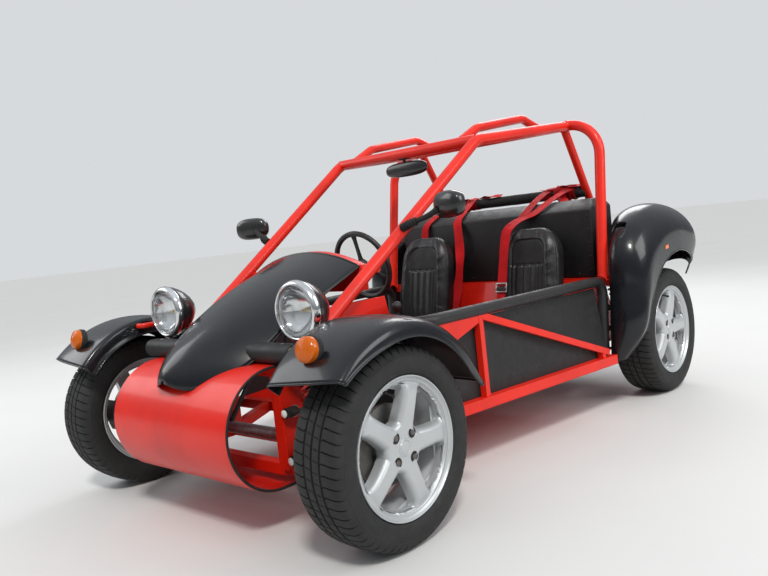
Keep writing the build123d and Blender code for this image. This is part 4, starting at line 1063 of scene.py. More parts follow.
def make_headlamp_bar():
    """The black tube behind the nose with a lamp in each end, and the lamps' brackets."""
    build = Build()
    stations = ((0.130, 0.985), (0.136, 1.0), (0.396, 1.0), (0.402, 0.985), (0.4058, 0.93), (0.4060, 0.90),
                (0.401, 0.88), (0.394, 0.87))
    m = len(pod_section())
    points = [p for x, size in stations for p in pod_ring(x, size)]
    faces = grid(len(stations), m, wrap_columns=True) + [tuple(reversed(range(m)))]
    build.add((points, faces))
    lens = [p for x, size in ((0.3970, 0.88), (0.4020, 0.72), (0.4045, 0.42)) for p in pod_ring(x, size)]
    glow = Build().add((lens, grid(3, m, wrap_columns=True) + [tuple(range(2 * m, 3 * m))]))
    glow.with_mirror().make("pod_lenses", MATERIALS["straw_glass"], sharp=60)
    build.add(rounded_block(at(373, 30, 286), (0.038, 0.088, 0.009), 0.0025))
    build.add_all(hex_bolt(at(373, -8, 290.6), UP, 0.011, 0.005), 1)
    for x in (180, 345):
        build.add(tube([at(x, POD[0], z) for z in (297, 300.4)], 0.0060, 14), 1)
    build.with_mirror().make("headlamp_bar_shell", [MATERIALS["panel_black"], STEEL], slot="body_black",
                             replaces=("headlamp_bar",), sharp=40)


def ribbed_dome(radius, high, ribs=9):
    """A domed lens on +Z with rings and a flat skirt, from its own centre."""
    profile = [(0.0, radius), (high * 0.42, radius * 0.985)]
    for i in range(1, ribs * 2 + 1):
        t = i / (ribs * 2)
        r = radius * 0.985 * (1 - t)
        along = high * (0.42 + 0.58 * math.sqrt(max(0.0, 1 - (1 - t) ** 2)))
        profile.append((along + (0.0006 if i % 2 else 0.0), r))
    return profile


def make_indicators():
    centre = at(655, -226, 321)
    out = Vector((0.10, -0.93, 0.20)).normalized()
    base = Build()
    base.add(lathe([(-0.016, 0.0), (-0.016, 0.034), (-0.012, 0.0395), (0.0, 0.0405), (0.004, 0.0395),
                    (0.006, 0.0370), (0.006, 0.0)], centre, out, 48))
    base.add(rounded_block(centre + Vector((0, 0.012, -0.030)), (0.034, 0.030, 0.040), 0.006))
    base.with_mirror().make("indicator_bases", "pad_black", sharp=45)
    lens = Build().add(lathe(ribbed_dome(0.0370, 0.026), centre + out * 0.005, out, 56))
    for turn in (0, 180):
        side = out.orthogonal().normalized()
        side.rotate(Matrix.Rotation(math.radians(turn + 20), 3, out))
        screw = [(0.008, 0.0032), (0.0185, 0.0030), (0.0192, 0.0)]
        lens.add(lathe(screw, centre + side * 0.0285, out, 12), 1)
    lens.with_mirror().make("indicator_lenses", [MATERIALS["amber_glass"], STEEL], slot="lens_amber",
                            replaces=("front_indicators",), sharp=30)


def make_rear_lamps():
    centre = rear(690, 338, 396)
    base = Build()
    base.add(lathe([(-0.014, 0.0), (-0.014, 0.038), (-0.010, 0.0445), (0.010, 0.0452), (0.015, 0.0440),
                    (0.017, 0.0415), (0.017, 0.0)], centre, BACK, 48))
    base.with_mirror().make("rear_lamp_bases", "pad_black", sharp=45)
    lens = Build().add(lathe(ribbed_dome(0.0412, 0.018), centre + Vector((0, 0.0155, 0)), BACK, 56))
    for side in (1, -1):
        lens.add(lathe([(0.006, 0.0032), (0.0165, 0.0030), (0.0172, 0.0)],
                       centre + Vector((side * 0.031, 0.010, 0)), BACK, 12), 1)
    lens.with_mirror().make("rear_lamp_lenses", [MATERIALS["red_glass"], STEEL], slot="lens_red",
                            replaces=("rear_lamps",), sharp=30)


def egg(centre, size, turn, rings=26, turns=44):
    """A mirror's shell: full and rounded at the front, cut flat behind where the glass sits."""
    flat = 0.38
    points = []
    for i in range(rings + 1):
        depth = -0.5 + i / rings * (0.5 + flat)
        if depth < 0:
            spread = max(0.0, 1 - (2 * abs(depth)) ** 2.5) ** 0.4
        else:
            spread = 1 - 0.08 * (depth / flat) ** 2
        for a in round_angles(turns):
            x = squared(math.cos(a), MIRROR_POWER) * size[0] / 2 * spread
            z = squared(math.sin(a), MIRROR_POWER) * size[2] / 2 * spread
            points.append(Vector(centre) + turn @ Vector((x, depth * size[1], z)))
    return points, grid(rings + 1, turns, wrap_columns=True)


def mirror_glass(centre, size, turn, inset, turns=44):
    ring, middle = [], []
    for a in round_angles(turns):
        x = squared(math.cos(a), MIRROR_POWER) * size[0] / 2
        z = squared(math.sin(a), MIRROR_POWER) * size[2] / 2
        ring.append(Vector(centre) + turn @ Vector((x * 0.895, inset, z * 0.88)))
        middle.append(Vector(centre) + turn @ Vector((x * 0.90, inset - 0.003, z * 0.885)))
    return middle + ring, grid(2, turns, wrap_columns=True) + [tuple(range(turns, 2 * turns))]


def make_mirrors():
    turn = Matrix.Rotation(math.radians(-20), 3, "Z")
    head, size = at(552, 578, 679), (0.158, 0.060, 0.096)
    side = egg(head, size, turn)
    pair, panes = Build().add(side), Build().add(mirror_glass(head, size, turn, 0.0225))
    boot = [at(380, 520, 612), at(396, 523, 618), at(412, 527, 625), at(434, 541, 633)]
    ridges = [1.0 - 0.22 * (i % 5 in (2, 3)) for i in range(41)]
    pair.add(sweep(spline(boot, 40), ring_section(0.0165, 24), scale=ridges), 1)
    arm = spline([at(434, 541, 633), at(462, 552, 642), at(492, 561, 654), at(512, 567, 666)], 24)
    swell = [1.0 + 0.45 * (i / 24) ** 3 for i in range(25)]
    pair.add(sweep(arm, ring_section(0.0098, 18), scale=swell), 1)
    pair = pair.with_mirror()
    head, size, turn = at(0, 1033, 868), (0.236, 0.034, 0.066), Matrix.Identity(3)
    pair.add(egg(head, size, turn))
    panes = panes.with_mirror()
    panes.add(mirror_glass(head, size, turn, 0.0128))
    stem = rounded_corners([at(0, 1024, 931), at(0, 1022, 905), at(0, 1030, 882)], 0.012)
    pair.add(tube(stem, 0.0062, 16), 1)
    pair.add(rounded_block(at(0, 1024, 914), (0.050, 0.030, 0.010), 0.003), 1)
    pair.make("mirror_shells", [MATERIALS["mirror_black"], MATERIALS["pad_black"]], slot="mirror_black",
              replaces=("mirrors",), sharp=45)
    panes.make("mirror_glasses", "chrome", sharp=45)


# Seats and harness

SEAT_X = 310.0
BACK_FOOT, BACK_LEAN, BACK_LONG = (1412.0, 34.0), math.radians(13.1), 532.0
CUSHION_FRONT, CUSHION_MIDDLE = 958.0, 38.0
PANEL_HALF, PANEL_TOP, CROSS_SEAM = 80.0, 0.875, 0.655


def add_seat_materials():
    for name, colour, rough, crease in (("seat_leather", (0.008, 0.008, 0.009), 0.27, 0.5),
                                        ("seat_panel", (0.006, 0.006, 0.007), 0.62, 0.25)):
        s = Shade(name.replace("_", " "))
        s.patched(s.noise(7.0, 5.0, 0.65), 0.48, 0.80, colour, tuple(c * 2.2 + 0.004 for c in colour))
        s.vary_roughness(s.noise(24.0, 4.0), 0.3, 0.75, rough, rough + 0.16)
        grain = s.bump(s.cells(620.0), 0.0008, 0.35)
        s.bump(s.noise(38.0, 4.0, 0.6, (1.0, 1.0, 0.45)), 0.004, crease, grain)
        MATERIALS[name] = s.material
    s = Shade("harness webbing")
    weave = s.wave(190.0, "X")
    across = s.wave(260.0, "Z", 0.6)
    s.patched(s.noise(18.0, 4.0), 0.35, 0.75, (0.50, 0.005, 0.008), (0.36, 0.004, 0.007))
    s.vary_roughness(s.noise(40.0, 3.0), 0.3, 0.7, 0.55, 0.72)
    s.bump(s.math("ADD", s.math("MULTIPLY", weave, 0.5), s.math("MULTIPLY", across, 0.5)), 0.0009, 0.6)
    s.set(Specular_IOR_Level=0.18)
    MATERIALS["webbing_red"] = s.material


def back_point(x, s, depth):
    """A point of the back rest: across, up along the rest, and forward of its middle, in millimetres."""
    c, n = math.cos(BACK_LEAN), math.sin(BACK_LEAN)
    return at(x, BACK_FOOT[0] + s * n - depth * c, BACK_FOOT[1] + s * c + depth * n)


def base_point(x, s, high):
    """A point of the seat cushion: across, back from its front edge, and above its middle."""
    return at(x, CUSHION_FRONT + s, CUSHION_MIDDLE + high)


def cushion_section(half, front, back, bolster, place, s, turns=72):
    points = []
    for a in round_angles(turns):
        x = squared(math.cos(a), 0.42) * half
        d = squared(math.sin(a), 0.42)
        q = abs(x) / max(half, 1.0)
        if d > 0:
            puff = bolster * (math.exp(-((q - 0.76) / 0.20) ** 2) - 0.55 * (1 - q ** 2))
            points.append(place(x, s, d * front + puff * min(1.0, d * 1.2)))
        else:
            points.append(place(x, s, d * back))
    return points


def cushion(stations, place, turns=72):
    """A closed padded form through sections of (along, half width, front, back, bolster)."""
    points = []
    for s, half, front, back, bolster in stations:
        points += cushion_section(half, front, back, bolster, place, s, turns)
    faces = grid(len(stations), turns, wrap_columns=True)
    last = (len(stations) - 1) * turns
    return points, faces + [tuple(reversed(range(turns))), tuple(range(last, last + turns))]


def back_stations(count=64):
    found = []
    for i in range(count + 1):
        t = i / count
        s = BACK_LONG * t
        foot = math.sqrt(1 - max(0.0, 1 - t / 0.06) ** 2)
        crown = max(0.0, (t - 0.70) / 0.30)
        top = max(0.0, 1 - crown ** 2.7) ** 0.5
        belly = 159.0 + 8.0 * math.sin(math.pi * min(t / 0.9, 1.0)) - 20.0 * max(0.0, t - 0.45)
        half = belly * (0.80 + 0.20 * foot)
        front = (38.0 + 8.0 * t) * (0.55 + 0.45 * foot)
        back = (38.0 + 14.0 * t) * (0.22 + 0.78 * top) * (0.55 + 0.45 * foot)
        found.append((s, max(half * (0.30 + 0.70 * top), 20), front * (0.22 + 0.78 * top), back,
                      15.0 * min(1.0, top * 1.1) * foot))
    return found


def base_stations(count=56):
    found, long = [], 428.0
    for i in range(count + 1):
        t = i / count
        nose = math.sqrt(1 - max(0.0, 1 - t / 0.13) ** 2)
        tail = math.sqrt(1 - max(0.0, 1 - (1 - t) / 0.06) ** 2)
        ends = min(nose, tail)
        found.append((long * t, (176.0 - 4.0 * t) * (0.86 + 0.14 * ends),
                      (64.0 - 26.0 * t) * (0.30 + 0.70 * ends), 66.0 * (0.35 + 0.65 * ends), 12.0 * ends))
    return found


def vertex_rows(vertices, what="co"):
    """One row of three numbers for each vertex."""
    values = np.empty(len(vertices) * 3)
    vertices.foreach_get(what, values)
    return values.reshape(-1, 3)


def blown_up(thing, cap, pressure, frames=20):
    """Works a short cloth simulation into the mesh. No point moves further than cap."""
    start = vertex_rows(thing.data.vertices)
    cloth = thing.modifiers.new("cloth", "CLOTH")
    settings = cloth.settings
    settings.quality = 6
    settings.mass = 0.25
    settings.tension_stiffness = settings.compression_stiffness = 12
    settings.shear_stiffness = 6
    settings.bending_stiffness = 0.6
    settings.use_pressure = True
    settings.uniform_pressure_force = pressure
    settings.effector_weights.gravity = 0
    cloth.collision_settings.use_self_collision = False
    cloth.point_cache.frame_start, cloth.point_cache.frame_end = 1, frames
    for step in range(1, frames + 1):
        bpy.context.scene.frame_set(step)
    data = applied(thing)
    bpy.context.scene.frame_set(1)
    move = vertex_rows(data.vertices) - start
    length = np.linalg.norm(move, axis=1, keepdims=True)
    held = start + move * np.minimum(1.0, cap / np.maximum(length, 1e-9))
    data.vertices.foreach_set("co", held.ravel())


def stuffed(name, shape, voxel, cap=0.009, pressure=4.0):
    """The shape remeshed and blown up a little, as a mesh of its own."""
    thing = Build().add(shape).make(name + "_blank", MATERIALS["seat_leather"])
    remesh = thing.modifiers.new("voxels", "REMESH")
    remesh.mode, remesh.voxel_size = "VOXEL", voxel
    applied(thing)
    blown_up(thing, cap, pressure)
    smooth = thing.modifiers.new("round", "SMOOTH")
    smooth.factor, smooth.iterations = 0.5, 4
    fine = thing.modifiers.new("fine", "SUBSURF")
    fine.levels = fine.render_levels = 1
    data = applied(thing)
    bpy.data.objects.remove(thing)
    data.materials.clear()
    return data


def near(distance, width):
    return np.exp(-(distance / width) ** 2)


def channels(across, inside, pitch=40.0):
    """Depth of the sewn channels by the distance across the panel."""
    phase = np.abs(((across / pitch + 0.5) % 1.0) - 0.5) * pitch
    line = pitch / 2 - phase
    return inside * (2.2 - 5.4 * near(line, 4.2) + 1.4 * (1 - (phase / (pitch / 2)) ** 2))


def sewn(data, into_plane, forward, seams):
    """Moves the points of the front face in and out for seams and channels."""
    points, normals = vertex_rows(data.vertices), vertex_rows(data.vertex_normals, "vector")
    facing = np.clip((normals @ np.array(forward) - 0.15) / 0.5, 0.0, 1.0)
    x, s = into_plane(points)
    points = points + normals * (seams(x, s) * facing / 1000)[:, None]
    data.vertices.foreach_set("co", points.ravel())
    data.update()


def back_plane(points):
    c, n = math.cos(BACK_LEAN), math.sin(BACK_LEAN)
    y = (points[:, 1] - FRONT_AXLE_Y) * 1000 - BACK_FOOT[0]
    z = (points[:, 2] - HUB_Z) * 1000 - BACK_FOOT[1]
    return points[:, 0] * 1000, y * n + z * c


def base_plane(points):
    return points[:, 0] * 1000, (points[:, 1] - FRONT_AXLE_Y) * 1000 - CUSHION_FRONT


def panel_edge(x, s, long, top, corner=46.0):
    """Distance to the horseshoe seam: both sides of the panel and its rounded top."""
    cx = np.maximum(np.abs(x) - (PANEL_HALF - corner), 0)
    cs = np.maximum(s - (long * top - corner), 0)
    return np.where((cx > 0) & (cs > 0), np.hypot(cx, cs) - corner,
                    np.maximum(np.abs(x) - PANEL_HALF, s - long * top))


def back_seams(x, s):
    edge = panel_edge(x, s, BACK_LONG, PANEL_TOP)
    inside = 1 / (1 + np.exp(edge / 3.0))
    cross = s - BACK_LONG * CROSS_SEAM
    low = 1 / (1 + np.exp(cross / 3.0))
    roll = near(cross, 5.0) * inside
    return (-5.0 * near(edge, 5.0) - 5.0 * roll - 3.5 * inside * (1 - low) + channels(x, inside * low)
            + 1.6 * near(edge - 46, 18.0))


def base_seams(x, s):
    edge = np.maximum(np.abs(x) - 104, 96.0 - s)
    inside = 1 / (1 + np.exp(edge / 3.0))
    return -5.0 * near(edge, 5.0) + channels(x, inside, 41.6)


def piping(surface, guide, radius=0.0021):
    line = []
    for point in guide:
        hit, normal = surface.find_nearest(point)[:2]
        line.append(hit + normal * radius * 0.35)
    smooth = [line[0]] + [(a + b + c) / 3 for a, b, c in zip(line, line[1:], line[2:])] + [line[-1]]
    return tube(smooth, radius, 8)


def mesh_surface(data):
    return BVHTree.FromPolygons([v.co for v in data.vertices], [tuple(p.vertices) for p in data.polygons])


def seat_piping(back, base):
    """A cord round the edge of the back rest and one round the seat cushion."""
    cord = Build()
    rows = back_stations()[4:-1]
    edge = [back_point(half * 0.985, s, front * 0.80 + 4) for s, half, front, _, _ in rows]
    other = [back_point(-half * 0.985, s, front * 0.80 + 4) for s, half, front, _, _ in reversed(rows)]
    cord.add(piping(mesh_surface(back), edge + other))
    sides = [base_point(half * 0.985, s, front * 0.80) for s, half, front, _, _ in base_stations()[:-3]]
    far = [base_point(-p.x * 1000, (p.y - FRONT_AXLE_Y) * 1000 - CUSHION_FRONT, (p.z - HUB_Z) * 1000
                      - CUSHION_MIDDLE) for p in reversed(sides)]
    return cord.add(piping(mesh_surface(base), far + sides))


def seat_hinges():
    """A plate with two bolts on each side of a back rest's foot."""
    hinges = Build()
    for x in (-188, 188):
        out = (1 if x > 0 else -1, 0, 0)
        corners = ((1372, -20), (1452, -20), (1462, 60), (1440, 96), (1402, 96), (1380, 40))
        hinges.add(plate([at(x, y, z) for y, z in corners], out, 0.004, 0.0012))
        hinges.add_all(hex_bolt(at(x * 1.022, 1420, 58), out, 0.015, 0.007), 1)
        hinges.add_all(hex_bolt(at(x * 1.022, 1412, 2), out, 0.013, 0.006), 1)
    return hinges


def make_seats():
    back = stuffed("back", cushion(back_stations(), back_point), 0.0068)
    sewn(back, back_plane, (0, -math.cos(BACK_LEAN), math.sin(BACK_LEAN)), back_seams)
    base = stuffed("base", cushion(base_stations(), base_point), 0.0080)
    sewn(base, base_plane, (0, -0.05, 1), base_seams)
    cord, hinges = seat_piping(back, base), seat_hinges()
    sides = (("driver", -1), ("passenger", 1))
    leather = MATERIALS["seat_leather"]
    for seat, side in sides:
        shift = Vector((side * SEAT_X / 1000, 0, 0))
        for part, data in (("back", back), ("cushion", base)):
            mesh = data.copy()
            mesh.transform(Matrix.Translation(shift))
            if part == "back":
                panel_faces(mesh, side)
            thing = show(f"{seat}_seat_{part}", mesh, [leather, MATERIALS["seat_panel"]],
                         slot="seat_leather", replaces=(seat + "_seat",) if part == "back" else (), sharp=0)
        build = Build().add(moved((cord.points, cord.faces), shift))
        build.make(seat + "_seat_piping", "seat_leather", sharp=0)
    for seat, side in sides:
        both = Build()
        both.points = [p + Vector((side * SEAT_X / 1000, 0, 0)) for p in hinges.points]
        both.faces, both.numbers = hinges.faces, hinges.numbers
        both.make("seat_hinges_" + seat, [MATERIALS["panel_black"], STEEL])


def panel_faces(mesh, side):
    """Gives the recessed upper panel of a back rest its matt cloth."""
    points = vertex_rows(mesh.vertices) - (side * SEAT_X / 1000, 0, 0)
    x, s = back_plane(points)
    edge = panel_edge(x, s, BACK_LONG, PANEL_TOP)
    y = (points[:, 1] - FRONT_AXLE_Y) * 1000 - BACK_FOOT[0] - s * math.sin(BACK_LEAN)
    chosen = (edge < 0) & (s > BACK_LONG * CROSS_SEAM) & (y < 0)
    index = [1 if all(chosen[i] for i in p.vertices) else 0 for p in mesh.polygons]
    mesh.polygons.foreach_set("material_index", index)


def ribbon(places, width=0.047, thick=0.0022, count=60):
    """A flat strap through rows of a place, x, y, z in millimetres, and the direction it faces."""
    path = spline([at(*place) for place, _ in places], count)
    facing = spline([Vector(way) for _, way in places], count)
    section = strap_section(width, thick)
    points = []
    for i, (place, way) in enumerate(zip(path, facing)):
        ahead = path[min(i + 1, count)] - path[max(i - 1, 0)]
        tangent = ahead.normalized()
        normal = (way - tangent * way.dot(tangent)).normalized()
        across = tangent.cross(normal)
        points += [place + across * a + normal * b for a, b in section]
    m = len(section)
    faces = grid(count + 1, m, wrap_columns=True)
    return points, faces + [tuple(reversed(range(m))), tuple(range(count * m, (count + 1) * m))]


# The padded bar: y and height, half its length, and where its cover is tied
BAR = (1868.0, 692.0)
BAR_HALF = 424
BAR_TIES = (-404, -130, 0, 130, 404)


def wrap(x, lift=28.5, start=-60.0, turn=400.0, drift=16.0, count=9):
    """Rows for a strap wound round the bar."""
    rows = []
    for k in range(count + 1):
        a = math.radians(start + turn * k / count)
        rows.append(((x + drift * k / count, BAR[0] - lift * math.sin(a), BAR[1] + lift * math.cos(a)),
                     (0, -math.sin(a), math.cos(a))))
    return rows


def over_box(x_bar, x_shoulder, lift=0.0):
    """Rows from the bar, over the box's top edge and down to its front."""
    lean = (0, -0.42, 0.9)
    return [((x_bar, 1838, 712 + lift), (0, -0.9, 0.45)),
            ((x_bar + (x_shoulder - x_bar) * 0.25, 1780, 690 + lift), (0, -0.35, 0.94)),
            ((x_bar + (x_shoulder - x_bar) * 0.55, 1702, 655 + lift), lean),
            ((x_bar + (x_shoulder - x_bar) * 0.85, 1622, 612 + lift), (0, -0.55, 0.83))]


def make_harness():
    build = Build()
    # Passenger side: both straps lie over the inner shoulder of the seat and end in one adjuster.
    inner = over_box(222, 214)
    inner += [((214, 1578, 588), (0, -0.35, 0.94)), ((213, 1520, 572), (0, -0.30, 0.95)),
              ((212, 1462, 540), (0, -0.93, 0.36)), ((210, 1436, 480), (-0.05, -0.97, 0.20)),
              ((207, 1418, 410), (-0.05, -0.97, 0.20)), ((204, 1404, 345), (0.03, -0.97, 0.20)),
              ((203, 1392, 292), (0.0, -0.97, 0.20))]
    outer = over_box(352, 262, 3.0)
    outer += [((236, 1580, 596), (0.15, -0.35, 0.94)), ((222, 1522, 580), (0.20, -0.30, 0.95)),
              ((216, 1455, 545), (0.15, -0.93, 0.36)), ((213, 1428, 482), (0.10, -0.97, 0.20)),
              ((210, 1411, 412), (-0.05, -0.97, 0.20)), ((207, 1397, 345), (0.03, -0.97, 0.20)),
              ((204, 1386, 296), (0.0, -0.97, 0.20))]
    build.add(ribbon(inner))
    build.add(ribbon(outer))
    tail = [((204, 1389, 285), (0, -0.97, 0.20)), ((200, 1372, 230), (0.1, -0.97, 0.2)),
            ((196, 1352, 170), (0.2, -0.9, 0.3)), ((190, 1318, 120), (0.1, -0.5, 0.85)),
            ((184, 1262, 112), (0.0, -0.1, 1.0)), ((170, 1210, 113), (0.0, 0.0, 1.0))]
    build.add(ribbon(tail, 0.044))
    adjuster(build, (203.5, 1388, 286))
    # Driver side: one strap falls behind the outer shoulder, the other hangs beside the seat, turned on edge.
    behind = over_box(-356, -392) + [((-396, 1604, 560), (0, -0.95, 0.3)),
                                     ((-398, 1603, 470), (0.15, -0.99, 0.0)),
                                     ((-400, 1602, 380), (0.1, -0.99, 0.0)),
                                     ((-398, 1600, 300), (0, -0.99, 0.0)),
                                     ((-392, 1596, 210), (0, -0.99, 0.0))]
    build.add(ribbon(behind))
    beside = over_box(-232, -176) + [((-166, 1592, 560), (0.1, -0.98, 0.1)),
                                     ((-152, 1572, 470), (0.55, -0.83, 0.0)),
                                     ((-143, 1545, 385), (0.96, -0.25, 0.0)),
                                     ((-140, 1520, 310), (0.90, -0.43, 0.0)),
                                     ((-146, 1486, 220), (0.45, -0.88, 0.1)),
                                     ((-154, 1450, 140), (0.1, -0.96, 0.2)),
                                     ((-158, 1416, 92), (0.0, -0.80, 0.6))]
    build.add(ribbon(beside, count=80))
    for x in (-356, -232, 222, 352):
        build.add(ribbon(wrap(x - 8), count=64))
    bundle(build)
    build.make("harness_straps", [MATERIALS["webbing_red"], MATERIALS["control_black"], STEEL],
               slot="webbing_red", replaces=("harnesses",), sharp=50)


def bundle(build):
    """Slack webbing laid along the bar and knotted near each seat."""
    laid = ((-405, -250, 31, 1), (-262, -60, 33, -1), (180, 418, 32, 1), (215, 400, 37, -1))
    steps = 9
    for start, end, lift, way in laid:
        rows = []
        for k in range(steps + 1):
            t = k / steps
            a = math.radians(12 * math.sin(9.0 * t * way + start) - 18 * way * (t - 0.4))
            reach = lift + 3.5 * math.sin(7.0 * t + end)
            place = (start + (end - start) * t, BAR[0] - reach * math.sin(a), BAR[1] + reach * math.cos(a))
            facing = (0.25 * math.sin(11 * t + lift), -math.sin(a + 0.3 * math.sin(8 * t)), math.cos(a))
            rows.append((place, facing))
        build.add(ribbon(rows, 0.040, 0.0022, 54))
    for x, size in ((-312, 1.0), (292, 1.15), (346, 0.9), (-262, 0.8)):
        for tilt, spread, phase in ((25, 34, 0.0), (-38, 30, 1.9), (70, 26, 3.6)):
            rows = []
            for k in range(11):
                a = 2 * math.pi * k / 10 + phase
                lean = math.radians(tilt)
                r = (33 + 4.0 * math.sin(2 * a)) * size
                px = x + spread * 0.55 * math.sin(a) * math.sin(lean) * size
                rows.append(((px, BAR[0] - r * math.sin(a) * 1.06, BAR[1] + r * math.cos(a) * 0.98),
                             (math.sin(lean) * 0.5, -math.sin(a), math.cos(a))))
            build.add(ribbon(rows, 0.030 * size, 0.0024, 44))
    for x, y, z, drop in ((318, 1826, 706, 70), (-292, 1828, 706, 62)):
        rows = [((x, y, z), (0, -0.7, 0.7)),
                ((x + 8, y - 26, z - 22), (0.1, -0.8, 0.6)),
                ((x + 20, y - 44, z - 38), (0.2, -0.5, 0.85)),
                ((x + 42, y - 70, z - 46), (0.1, -0.42, 0.9)),
                ((x + 62, y - 84 - drop * 0.3, z - 60), (0.0, -0.42, 0.9))]
        build.add(ribbon(rows, 0.040, 0.0022, 36))


def adjuster(build, place):
    """A three-bar buckle across two straps."""
    turn = Matrix.Rotation(math.radians(-12), 3, "X")
    centre = at(*place)
    for z in (-0.019, 0.0, 0.019):
        build.add(rounded_block(centre + turn @ Vector((0, -0.0065, z)), (0.060, 0.0042, 0.0075), 0.0016,
                                turn), 2)
    for x in (-0.0275, 0.0275):
        build.add(rounded_block(centre + turn @ Vector((x, -0.0058, 0)), (0.0060, 0.0046, 0.046), 0.0018,
                                turn), 2)
    build.add(rounded_block(centre + turn @ Vector((0, -0.0095, -0.006)), (0.042, 0.0040, 0.020), 0.0015,
                            turn), 1)


def make_harness_bar():
    """The foam-covered bar, pinched where its cover is tied, with plain ends."""
    stations = [-BAR_HALF + 2 * BAR_HALF * i / 120 for i in range(121)]
    scale = []
    for x in stations:
        tie = sum(0.075 * math.exp(-((x - t) / 6.0) ** 2) for t in BAR_TIES)
        wave = 0.012 * math.sin(x * 0.053) + 0.008 * math.sin(x * 0.021 + 1)
        end = 0.14 * max(0.0, (abs(x) - 412) / 12) ** 2
        scale.append(1.0 - tie + wave - end)
    pad = Build().add(sweep([at(x, *BAR) for x in stations], ring_section(0.0262, 40), scale=scale))
    thing = pad.make("harness_bar_pad", "pad_black", replaces=("harness_bar",), sharp=50)
    ties, half_wide, half_thick = Build(), 0.0022, 0.0008
    section = [(half_wide, -half_thick), (half_wide, half_thick), (-half_wide, half_thick),
               (-half_wide, -half_thick)]
    for x in BAR_TIES:
        ring = [at(x, BAR[0] + 24.6 * math.sin(a), BAR[1] + 24.6 * math.cos(a)) for a in round_angles(40)]
        ties.add(sweep(ring, section, closed=True))
    ties.make("bar_ties", MATERIALS["control_black"])


# Cabin, running gear and fittings

def softened(node, name, material, width, segments):
    """A copy of a CAD node with its hard edges rounded."""
    source = NODES[node]
    shape = bmesh.new()
    shape.from_mesh(source.data)
    shape.transform(source.matrix_world)
    bmesh.ops.remove_doubles(shape, verts=shape.verts[:], dist=2e-5)
    bmesh.ops.dissolve_limit(shape, angle_limit=math.radians(2), verts=shape.verts[:], edges=shape.edges[:])
    edges = [e for e in shape.edges if e.is_manifold and e.calc_face_angle(0) > math.radians(32)]
    bmesh.ops.bevel(shape, geom=edges, offset=width, segments=segments, profile=0.5, affect="EDGES",
                    clamp_overlap=True)
    data = bpy.data.meshes.new(name)
    shape.to_mesh(data)
    shape.free()
    return show(name, data, material, replaces=(node,), sharp=40)


def rivet(place, out, radius=0.0048, high=0.0024):
    return lathe([(-0.0004, radius), (high * 0.35, radius * 0.96), (high * 0.75, radius * 0.66),
                  (high, radius * 0.25), (high, 0.0)], place, out, 14)


def make_storage_box():
    softened("storage_box", "storage_box_shell", "box_black", 0.007, 4)
    build = Build()
    for side in (-1, 1):
        for z in range(330, 600, 62):
            build.add(rivet(at(side * 540, 1621.6, z), FRONT))
    for x in range(-480, 481, 120):
        build.add(rivet(at(x, 1621.6, 312), FRONT))
    build.make("box_rivets", MATERIALS["control_black"])
    lid = Build()
    for side in (-1, 1):
        centre = at(side * 300, 1835, 560)
        lid.add(rounded_block(centre + Vector((0, 0.003, 0.0)), (0.046, 0.005, 0.070), 0.0015))
        lid.add(rounded_block(centre + Vector((0, 0.008, -0.010)), (0.026, 0.009, 0.052), 0.0025))
        lid.add(tube([centre + Vector((x, 0.010, 0.020)) for x in (-0.016, 0.016)], 0.003, 10))
    lid.make("box_latches", STEEL)


def dial_way(degrees):
    """Directions on a dial: outwards at an angle from the top, and square to that."""
    a = math.radians(degrees)
    return Vector((math.sin(a), 0, math.cos(a))), Vector((math.cos(a), 0, -math.sin(a)))


def gauge(build, centre, radius, needle):
    """A round instrument with a bezel, a dark face, eleven ticks, a needle and its hub."""
    out = BACK
    bezel = ((-0.004, 0.98), (0.004, 1.02), (0.0065, 0.99), (0.0070, 0.92), (0.0050, 0.88), (0.0030, 0.87))
    build.add(lathe([(along, radius * share) for along, share in bezel], centre, out, 48), 1)
    build.add(lathe([(0.0031, radius * 0.88), (0.0031, 0.0)], centre, out, 40))
    for k in range(11):
        way, tick = dial_way(-135 + 27 * k)
        start, end = (centre + way * radius * share + Vector((0, 0.0034, 0)) for share in (0.70, 0.82))
        wide = tick * 0.0007
        build.add(([start - wide, start + wide, end + wide, end - wide], [(0, 1, 2, 3)]), 2)
    way, tick = dial_way(needle)
    foot, wide = centre + Vector((0, 0.0038, 0)), tick * 0.0012
    build.add(([foot - wide, foot + wide, foot + way * radius * 0.74], [(0, 1, 2)]), 3)
    build.add(lathe([(0.0036, 0.0040), (0.0056, 0.0034), (0.0060, 0.0)], centre, out, 16))


def toggle(build, centre):
    """A switch: a collar and a short lever."""
    collar = [(-0.001, 0.0085), (0.0022, 0.0082), (0.0030, 0.0066), (0.0030, 0.0052)]
    build.add(lathe(collar, centre, BACK, 20), 1)
    lever = [centre, centre + Vector((0, 0.012, 0.005)), centre + Vector((0, 0.017, 0.007))]
    build.add(tube(lever, 0.0028, 10))


def make_dashboard():
    softened("dashboard", "dash_panel", "cowl_red", 0.0012, 2)
    build = Build()
    face = 410.4
    for x, z, r in ((-215, 498, 34), (-130, 512, 26), (-55, 516, 26)):
        gauge(build, at(x, face, z), r / 1000, -100 + x % 90)
    for x in (15, 50, 85, 120):
        toggle(build, at(x, face, 502))
    build.make("dash_instruments", [BLACK_AND_PAINTED_SHADE, MATERIALS["chrome"], MATERIALS["tick_white"],
                                    MATERIALS["lens_amber"]], face_out=False)


def add_cabin_materials():
    MATERIALS["tick_white"] = satin_black("tick white", (0.75, 0.75, 0.72), 0.5, 200.0, 0.0002)
    s = Shade("grip leather")
    s.patched(s.noise(26.0, 4.0), 0.4, 0.75, (0.010, 0.010, 0.011), (0.026, 0.026, 0.027))
    s.vary_roughness(s.noise(60.0, 3.0), 0.3, 0.7, 0.36, 0.55)
    s.bump(s.cells(760.0), 0.0006, 0.5)
    MATERIALS["wheel_grip"] = s.material


